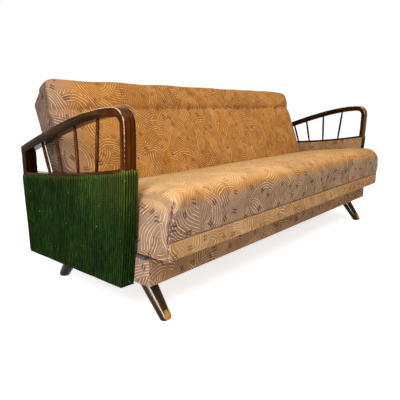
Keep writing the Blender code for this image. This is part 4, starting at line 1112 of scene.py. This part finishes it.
def puff(piece, held, pressure, cap):
    """Blow a cover up by cloth simulation with its tacked points held, and cap how far any point moves."""
    frames, tiny = 18, 1e-9
    rest = np.array([v.co for v in piece.data.vertices])
    group = piece.vertex_groups.new(name="held")
    for index, weight in enumerate(held):
        if weight > 0:
            group.add([index], float(weight), "REPLACE")
    hold(piece)
    cloth = piece.modifiers.new("cloth", "CLOTH")
    cloth.settings.vertex_group_mass = group.name
    cloth.settings.use_pressure = True
    cloth.settings.uniform_pressure_force = pressure
    cloth.settings.effector_weights.gravity = 0
    cloth.settings.quality = 5
    cloth.settings.tension_stiffness = 25
    cloth.settings.compression_stiffness = 25
    cloth.settings.bending_stiffness = 2
    cloth.collision_settings.use_collision = False
    scene = bpy.context.scene
    for number in range(1, frames + 1):
        scene.frame_set(number)
    bpy.ops.object.modifier_apply(modifier=cloth.name)
    piece.vertex_groups.clear()
    moved = np.array([v.co for v in piece.data.vertices]) - rest
    size = np.linalg.norm(moved, axis=1)
    moved *= np.minimum(1, cap / np.maximum(size, tiny))[:, None]
    piece.data.vertices.foreach_set("co", (rest + moved).ravel())
    piece.data.update()
    scene.frame_set(1)


def subdivide_once(piece):
    """Smooth a cushion by one subdivision."""
    hold(piece)
    smooth = piece.modifiers.new("smooth", "SUBSURF")
    smooth.levels = smooth.render_levels = 1
    bpy.ops.object.modifier_apply(modifier=smooth.name)


# The seat's section in the arm frame: heights of its rail, cushion and rims, and how far its front leans out
SEAT_LOW = 0.2455
SEAT_BOTTOM = 0.3016
SEAT_RIM = 0.474
SEAT_REAR_TOP = 0.412
SEAT_FRONT = -0.117
SEAT_LIP = -0.139
FRONT_LEAN = 0.022
FRONT_RISE = 0.172
BACK_FACE = 0.070


def seat_rear(z):
    """The y of the seat's rear face at a height, a gap in front of the back."""
    pivot_y = PIVOT.y - ARM_ZERO
    return pivot_y + (z - PIVOT.z) * math.tan(BACK_LEAN) - (BACK_FACE + 0.009) / math.cos(BACK_LEAN)


class SOFA_OT_seat(bpy.types.Operator):
    """Make the seat cushion, its front band and its stitched corner"""
    bl_idname = "sofa.seat"
    bl_label = "Seat"

    def execute(self, context):
        """Shape the cushion, then the band and the hand stitches on it."""
        self.cushion()
        self.band()
        self.stitches()
        return {"FINISHED"}

    def section(self, bottom, radius):
        """The cushion's section in the side view."""
        corners = [(SEAT_FRONT, bottom, radius), (SEAT_LIP, SEAT_RIM, 0.056),
                   (seat_rear(SEAT_REAR_TOP), SEAT_REAR_TOP, 0.026), (seat_rear(bottom), bottom, radius)]
        return outline_of(corners, (14, 36, 6, 18), 6)

    def corner(self, z):
        """How far the front corner's round reaches sideways and backwards: crisp below, full above."""
        full = step_up(z, 0.33, SEAT_RIM)
        return 0.008 + 0.077 * full, 0.007 + 0.048 * full

    def cushion(self):
        """The sprung seat: leaning front, crowned top, soft upper rims and end panels over the side rails."""
        main = self.section(SEAT_BOTTOM, 0.014)
        ends = self.section(SEAT_LOW, 0.006)
        face = slice(4, 20)
        ends[face, 0] = self.front(ends[face, 1])
        sideways, backwards = self.corner(ends[:, 1])
        backwards = backwards * (1 - step_up(ends[:, 0], SEAT_LIP, 0.02))
        turn_in = np.stack([backwards, -0.072 * step_up(ends[:, 1], 0.33, SEAT_RIM)], 1)
        rings, uvs = cushion_rings(SEAT_HALF + 0.001, main, ends, sideways, turn_in, 110, 7)
        lifted = []
        for ring in rings:
            x, y, z = ring.T
            share = np.clip((y + 0.09) / (seat_rear(SEAT_REAR_TOP) + 0.07), 0, 1)
            lift = 0.008 + 0.020 * (1 - np.abs(x / SEAT_HALF) ** 3)
            above = np.clip((z - SEAT_BOTTOM) / (SEAT_RIM - SEAT_BOTTOM), 0, None)
            z = z + lift * np.sin(np.pi * share) ** 0.7 * above ** 2
            lifted.append(np.column_stack([x, y + ARM_ZERO, z]))
        piece = skin("seat_cushion_cover", lifted, uvs)
        co = np.array([v.co for v in piece.data.vertices])
        held = np.where((co[:, 2] < 0.33) | (co[:, 1] > seat_rear(0.40) + ARM_ZERO - 0.03), 1.0, 0.0)
        held = np.maximum(held, step_up(np.abs(co[:, 0]), SEAT_HALF - 0.2, SEAT_HALF - 0.05))
        puff(piece, held, 3.0, 0.008)
        self.rumple(piece)
        subdivide_once(piece)
        dress(piece, "moquette")
        store_nap_and_shade(piece, self.nap)
        store_nap_and_shade(piece, self.faded, "faded")
        settle(piece, "seat", "moquette", "seat_cushion", "seat_left_rail", "seat_right_rail")

    def nap(self, p, n):
        """Painted shade: the mauve tint on the upright front and over the ends, which take less light than the
        top, with the pile's lie.
        """
        return max(step_up(1 - n.z, 0.3, 1.0), step_up(abs(n.x), 0.08, 0.36))

    def faded(self, p, n):
        """The pale tint: sat-on wear and painted light on the top, most of all at the left, and painted light
        on the ends, a little, most over their rounds.
        """
        top = step_up(n.z, 0.45, 1.0) * (0.65 - 0.3 * p.x / SEAT_HALF)
        top *= step_up(SEAT_HALF - abs(p.x), 0.01, 0.07)
        rounded = 0.55 * step_up(abs(n.x), 0.12, 0.5) * step_up(n.z, 0.05, 0.5)
        panel = 0.15 * step_up(abs(n.x), 0.6, 0.95)
        return min(1, top + rounded + panel)

    def front(self, z):
        """The y of the cushion's front face at a height, in the arm frame."""
        return SEAT_FRONT - FRONT_LEAN * np.clip((z - SEAT_BOTTOM) / FRONT_RISE, 0, 1)

    def rumple(self, piece):
        """Give the sat-on top its slow unevenness, and the front corners their pulled folds."""
        for vertex in piece.data.vertices:
            x, y, z = vertex.co
            top = float(step_up(z, 0.40, 0.46))
            slow = noise.noise((x / 0.22, y / 0.3, 1.0)) * 0.004
            quick = noise.noise((x / 0.09, y / 0.12, 5.0)) * 0.0018
            vertex.co.z += (slow + quick) * top
            face = float(step_up(-(y - ARM_ZERO), 0.10, 0.12)) * float(step_up(z, 0.31, 0.34))
            vertex.co.y += face * noise.noise((x / 0.12, z / 0.06, 8.0)) * 0.0025
            # The corner seam is drawn in, with short folds that run out from it
            side = x + SEAT_HALF
            behind = y - float(self.front(z) + ARM_ZERO)
            if side + behind < 0.16 and z < 0.46:
                seam = math.exp(-((side - behind) / 0.010) ** 2) * float(step_up(z, 0.30, 0.32))
                fold = math.sin(z / 0.0055 + 3 * noise.noise((z / 0.03, 0.0, 2.0)))
                fold *= math.exp(-(side + behind) / 0.05) * float(step_up(z, 0.31, 0.35))
                vertex.co += Vector((1, 1, 0)) * (0.004 * seam + 0.0018 * fold)

    def band(self):
        """The padded front rail: a crisp cloth-covered band that stands a little proud under the cushion."""
        low = Vector((-SEAT_HALF + 0.0055, BAND_LOW.y - 0.0025, BAND_LOW.z - 0.0005))
        high = Vector((SEAT_HALF - 0.0055, BAND_HIGH.y, BAND_HIGH.z + 0.0065))
        piece = add_block("seat_front_band", high - low, (low + high) / 2)
        bpy.ops.object.mode_set(mode="EDIT")
        bpy.ops.mesh.select_all(action="SELECT")
        bpy.ops.mesh.bevel(offset=0.004, segments=4, affect="EDGES")
        bpy.ops.object.mode_set(mode="OBJECT")
        soften(piece)
        lay_metres(piece, boxed)
        dress(piece, "moquette")
        # The band takes half the mauve tint of painted shade, and a pale tint of painted light towards the left
        store_nap_and_shade(piece, lambda p, n: 0.5)
        store_nap_and_shade(piece, lambda p, n: 0.3 * step_up(-p.x, -0.2, SEAT_HALF), "faded")
        settle(piece, "seat", "moquette", "seat_front_rail")

    def stitches(self):
        """Dark hand stitches that close the left front corner seam."""
        made = []
        for i in range(12):
            z = 0.306 + 0.0115 * i + 0.005 * noise.noise((i * 1.7, 0.5, 0.0))
            lean = (0.5 if i % 2 else -0.6) + noise.noise((i * 2.3, 4.5, 0.0))
            stray = 0.006 * noise.noise((i * 0.6, 8.5, 0.0))
            sideways, backwards = self.corner(z)
            x = -SEAT_HALF + 0.29 * sideways + 0.002 + stray
            y = self.front(z) + ARM_ZERO + 0.29 * backwards + 0.002 - stray
            long = 4.0 + 2.5 * noise.noise((i * 3.1, 6.5, 0.0))
            turn = Matrix.Rotation(math.radians(45), 4, "Z") @ Matrix.Rotation(lean, 4, "Y")
            made.append(add_bead(0.0025, 10, 8, (1, 1, long), Matrix.Translation((x, y, z)) @ turn))
        piece = join_pieces(made, "seat_corner_stitches")
        dress(piece, "thread")
        settle(piece, "seat", "moquette")


def back_place(y, z):
    """Turn the back's own (y, z), forwards being -y and up the back z, into the sofa's y and z."""
    return (PIVOT.y + y * math.cos(BACK_LEAN) + z * math.sin(BACK_LEAN),
            PIVOT.z - y * math.sin(BACK_LEAN) + z * math.cos(BACK_LEAN))


class SOFA_OT_back(bpy.types.Operator):
    """Make the buttoned back cushion and the cloth over its frame"""
    bl_idname = "sofa.back"
    bl_label = "Back"

    # Distances up the back from its pivot, and the round of its upper corners
    DROP = 0.115
    LOWER = 0.105
    CREASE = 0.338
    FRAME_TOP = 0.395
    TOP = 0.472
    ROUND = 0.070

    def execute(self, context):
        """Shape the cushion, its buttons and the covered frame behind it."""
        spacing = context.scene.sofa_sizes.tuft_spacing
        count = int(2 * BACK_HALF / spacing)
        self.tufts = [spacing * (i - (count - 1) / 2) for i in range(count)]
        cushion = self.cushion()
        self.buttons(cushion, context.scene.sofa_sizes.button_diameter)
        self.frame_cover()
        return {"FINISHED"}

    def pull(self, x, width):
        """How hard the nearest tuft pulls at each x."""
        nearest = np.min([np.abs(x - tuft) for tuft in self.tufts], axis=0)
        return np.exp(-(nearest / width) ** 2)

    def nap(self, p, n):
        """Painted shade: the mauve tint and a darker shade over the ends, and a soft mauve tint on the left,
        beside the arm.
        """
        return max(1.8 * step_up(abs(n.x), 0.1, 0.9), 0.9 - 0.9 * step_up(p.x + BACK_HALF, 0.02, 0.18))

    def cushion(self):
        """The back pad: crowned face, a buttoned crease and a head roll above it."""
        corners = [(0, -self.DROP, 0.016), (-BACK_FACE, -self.DROP, 0.035),
                   (-BACK_FACE, self.TOP + 0.016, 0.029), (-0.012, self.TOP - 0.006, 0.026)]
        section = outline_of(corners, (4, 60, 3, 14), 7)
        rim = np.full(len(section), 0.024)
        rim -= 0.022 * step_up(section[:, 0], -0.03, -0.004) * (1 - step_up(section[:, 1], 0.38, 0.42))
        rings, uvs = cushion_rings(BACK_HALF, section, section, rim, inward(section) * rim[:, None], 168, 5)
        piece = skin("back_cushion_cover", [self.shaped(ring) for ring in rings], uvs)
        puff(piece, np.concatenate([self.tacked(ring) for ring in rings]), 3.0, 0.008)
        subdivide_once(piece)
        dress(piece, "moquette")
        store_nap_and_shade(piece, self.nap)
        settle(piece, "back", "moquette", "back_cushion")
        return piece

    def shaped(self, ring):
        """Swell, crease and round one ring of the pad, and lean it back."""
        x, y, z = ring.T
        front = np.clip(-y / BACK_FACE, 0, None) ** 3
        crease = np.exp(-np.abs((z - self.CREASE) / 0.013) ** 1.2)
        lower = np.exp(-((z - self.LOWER) / 0.02) ** 2)
        below = np.sin(np.pi * np.clip((z + self.DROP) / (self.CREASE + self.DROP), 0, 1))
        above = np.sin(np.pi * np.clip((z - self.CREASE) / (self.TOP - self.CREASE), 0, 1))
        flat = 1 - np.abs(x / BACK_HALF) ** 4
        swell = 0.008 * flat * below + 0.007 * above
        swell -= crease * (0.014 + 0.013 * self.pull(x, 0.028)) + lower * 0.009 * self.pull(x, 0.02)
        pleat = self.pull(x, 0.007) * step_up(z, -0.02, 0.12) * (1 - step_up(z, 0.42, 0.46))
        swell -= 0.0035 * pleat
        # The head roll is uneven, and sags towards the right
        uneven = np.array([noise.noise((v / 0.16, 3.0, 0.0)) for v in x])
        sag = 0.007 * (1 + x / BACK_HALF)
        z = z + (0.005 * uneven - sag) * step_up(z, self.CREASE, self.TOP)
        out = np.clip((np.abs(x) - BACK_HALF) / self.ROUND + 1, 0, 1)
        up = np.clip((z - self.TOP - 0.004) / self.ROUND + 1, 0, 1)
        x = x - np.sign(x) * self.ROUND * out * (1 - np.sqrt(1 - up ** 2 / 2))
        z = z - self.ROUND * up * (1 - np.sqrt(1 - out ** 2 / 2))
        world_y, world_z = back_place(y - front * swell, z)
        return np.column_stack([x, world_y, world_z])

    def tacked(self, ring):
        """How firmly each point of a ring is held: at crease, buttons, rear, ends and foot."""
        x, y, z = ring.T
        front = y < -BACK_FACE * 0.5
        tack = np.exp(-((z - self.CREASE) / 0.012) ** 2) * (0.35 + 0.65 * self.pull(x, 0.012))
        tack = np.maximum(tack, np.exp(-((z - self.LOWER) / 0.012) ** 2) * self.pull(x, 0.012))
        tack = np.where(front, tack, np.where(z < self.FRAME_TOP, 1.0, 0.0))
        tack = np.maximum(tack, step_up(np.abs(x), BACK_HALF - 0.05, BACK_HALF - 0.02))
        return np.maximum(tack, np.where(z < -0.03, 1.0, 0.0))

    def buttons(self, cushion, diameter):
        """Small covered buttons in the crease and in a row near the foot of the back, pressed on its face."""
        made = []
        inwards = Vector((0, math.cos(BACK_LEAN), -math.sin(BACK_LEAN)))
        lean = Matrix.Rotation(-BACK_LEAN, 4, "X")
        for tuft in self.tufts:
            for up in (self.CREASE, self.LOWER):
                found, spot, _, _ = cushion.ray_cast((tuft, *back_place(-0.2, up)), inwards)
                if not found:
                    raise RuntimeError("A button found no cushion behind it")
                place = Matrix.Translation((tuft, spot.y, spot.z)) @ lean
                made.append(add_bead(diameter / 2, 20, 10, (1, 0.45, 1), place))
        piece = join_pieces(made, "back_buttons")
        dress(piece, "button")
        settle(piece, "back", "moquette")

    def frame_cover(self):
        """The back's frame, wrapped in cloth, behind the cushion."""
        size = (2 * BACK_HALF - 0.002, 0.060, self.DROP + self.FRAME_TOP - 0.002)
        piece = add_block("back_frame_cover", size, (0, 0.0002, (self.FRAME_TOP - self.DROP) / 2))
        pick(piece, "vertices", lambda v: v.co.z > 0 and v.co.y < 0)
        bpy.ops.transform.translate(value=(0, 0, 0.034))
        bpy.ops.mesh.select_all(action="SELECT")
        bpy.ops.mesh.bevel(offset=0.009, segments=5, affect="EDGES")
        finish_edit()
        soften(piece)
        lay_metres(piece, boxed)
        piece.data.transform(Matrix.Translation(PIVOT) @ Matrix.Rotation(-BACK_LEAN, 4, "X"))
        dress(piece, "moquette")
        store_nap_and_shade(piece, self.nap)
        settle(piece, "back", "moquette", "back_rear_cloth", "back_top_rail", "back_bottom_rail",
               "back_left_stile", "back_right_stile", "back_centre_stile")


class SOFA_OT_hidden_timber(bpy.types.Operator):
    """Finish the timber, webbing and steel that stay as the CAD part has them"""
    bl_idname = "sofa.hidden_timber"
    bl_label = "Inner frame and fittings"

    def execute(self, context):
        """Give each CAD node that still shows a finish chosen by words in its name."""
        shown = {"pine": ("leg_bearer", "lower_rail", "stretcher", "seat_rear_rail", "seat_centre_rail"),
                 "beech": ("runner",), "steel": ("plate", "stud"), "jute": ("webbing",)}
        for name, node in frame["nodes"].items():
            for finish, words in shown.items():
                if any(word in name for word in words):
                    dress(node, finish)
        return {"FINISHED"}


def seen_rays(tree):
    """1 for rays from the camera, off gloss and through glass, and 0 for the rays that light things."""
    rays = add(tree, "LightPath")
    seen = rays.outputs["Is Camera Ray"]
    for kind in ("Is Glossy Ray", "Is Transmission Ray"):
        seen = add(tree, "Math", {0: seen, 1: rays.outputs[kind]}, operation="MAXIMUM")
    return seen


class SOFA_OT_stage(bpy.types.Operator):
    """Set the floor, the lights and the camera"""
    bl_idname = "sofa.stage"
    bl_label = "Stage"

    def execute(self, context):
        """A pale floor, soft light from above and in front, and the camera at the photo's place."""
        self.floor()
        self.world(context.scene)
        self.lamps()
        self.camera(context.scene)
        context.scene.view_settings.view_transform = "Standard"
        return {"FINISHED"}

    def floor(self):
        """A pale seamless floor that stays white to the camera but keeps the shadow."""
        clear_selection()
        bpy.ops.mesh.primitive_plane_add(size=40, location=(0, 0, -0.0005))
        piece = bpy.context.object
        piece.name = "studio_floor"
        bpy.ops.object.transform_apply(location=True, rotation=True, scale=True)
        material, tree, shader = start_material("paper_backdrop_matt", 1.0, Specular_IOR_Level=0.0)
        shader.inputs["Base Color"].default_value = linear("#E9E9E9")
        glow = add(tree, "Math", {0: seen_rays(tree), 1: 0.75}, operation="MULTIPLY")
        shader.inputs["Emission Color"].default_value = (1, 1, 1, 1)
        tree.links.new(glow.outputs[0], shader.inputs["Emission Strength"])
        piece.data.materials.append(material)

    def world(self, scene):
        """White to the camera and in reflections, a soft cool light to everything else."""
        world = bpy.data.worlds.new("studio")
        scene.world = world
        world.use_nodes = True
        tree = world.node_tree
        tree.nodes.clear()
        soft = add(tree, "Background", {"Color": linear("#EEF0F6"), "Strength": 0.45})
        white = add(tree, "Background", {"Color": (1, 1, 1, 1), "Strength": 1.0})
        mixed = add(tree, "MixShader", {0: seen_rays(tree), 1: soft, 2: white})
        add(tree, "OutputWorld", {"Surface": mixed})

    def lamps(self):
        """A large soft key lamp above the front, a cooler one at the left, a weak low one and one for gloss."""
        for name, place, aim, wide, tall, watts, colour in (
                ("key", (0.5, -1.6, 3.3), (0, 0, 0.3), 2.2, 2.2, 90, "#FFEBCB"),
                ("left", (-2.2, -0.85, 1.3), (-0.8, -0.2, 0.35), 0.6, 0.6, 28, "#F6ECF4"),
                ("low", (-2.6, -0.25, 0.13), (-0.9, -0.25, 0.1), 0.25, 0.25, 4.5, "#FFF6EA"),
                ("gloss", (-2.5, -0.77, 0.49), (-0.9, -0.35, 0.08), 1.2, 0.5, 130, "#F2F6FF")):
            clear_selection()
            bpy.ops.object.light_add(type="AREA", location=place)
            lamp = bpy.context.object
            lamp.name = f"lamp_{name}"
            lamp.data.shape = "RECTANGLE"
            lamp.data.size = wide
            lamp.data.size_y = tall
            lamp.data.energy = watts
            lamp.data.color = linear(colour)[:3]
            lamp.visible_diffuse = name != "gloss"
            lamp.rotation_euler = (Vector(aim) - Vector(place)).to_track_quat("-Z", "Y").to_euler()

    def camera(self, scene):
        """The camera as solved from corners read in the photo."""
        yaw, pitch, roll = math.radians(40.071), math.radians(12.551), math.radians(0.359)
        forward = Vector((math.cos(yaw) * math.cos(pitch), math.sin(yaw) * math.cos(pitch), -math.sin(pitch)))
        right = Vector((math.sin(yaw), -math.cos(yaw), 0))
        up = right.cross(forward)
        level = math.cos(roll) * right + math.sin(roll) * up
        crown = -math.sin(roll) * right + math.cos(roll) * up
        focal_pixels, sensor = 435.49, 36
        bpy.ops.object.camera_add(location=(-1.885, -1.031 + ARM_ZERO, 0.739))
        camera = bpy.context.object
        camera.rotation_euler = Matrix((level, crown, -forward)).transposed().to_euler()
        camera.data.sensor_width = sensor
        camera.data.lens = focal_pixels * sensor / PHOTO_SIZE
        scene.camera = camera


class SOFA_PT_panel(bpy.types.Panel):
    """Lists the sizes, the colours and the steps in order"""
    bl_idname = "SOFA_PT_panel"
    bl_label = "Sofa bed"
    bl_space_type = "VIEW_3D"
    bl_region_type = "UI"
    bl_category = "Sofa bed"

    def draw(self, context):
        """Draw every property and a button for each step."""
        for group in (context.scene.sofa_sizes, context.scene.sofa_colours):
            for name in group.__annotations__:
                self.layout.prop(group, name)
        for step in STEPS:
            self.layout.operator(step.bl_idname)


STEPS = (SOFA_OT_wooden_arms, SOFA_OT_arm_covers, SOFA_OT_base, SOFA_OT_legs, SOFA_OT_seat, SOFA_OT_back,
         SOFA_OT_hidden_timber, SOFA_OT_stage)
CLASSES = (SofaSizes, SofaColours) + STEPS + (SOFA_PT_panel,)


def register():
    """Add the classes and the scene's properties."""
    for item in CLASSES:
        bpy.utils.register_class(item)
    bpy.types.Scene.sofa_sizes = bpy.props.PointerProperty(type=SofaSizes)
    bpy.types.Scene.sofa_colours = bpy.props.PointerProperty(type=SofaColours)


def unregister():
    """Take the classes and the scene's properties away."""
    del bpy.types.Scene.sofa_sizes
    del bpy.types.Scene.sofa_colours
    for item in reversed(CLASSES):
        bpy.utils.unregister_class(item)


def main():
    """Dress the sofa bed step by step."""
    register()
    make_finishes(bpy.context.scene)
    bpy.ops.sofa.wooden_arms()
    bpy.ops.sofa.arm_covers()
    bpy.ops.sofa.base()
    bpy.ops.sofa.legs()
    bpy.ops.sofa.seat()
    bpy.ops.sofa.back()
    bpy.ops.sofa.hidden_timber()
    bpy.ops.sofa.stage()
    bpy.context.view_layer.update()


if __name__ == "__main__":
    main()
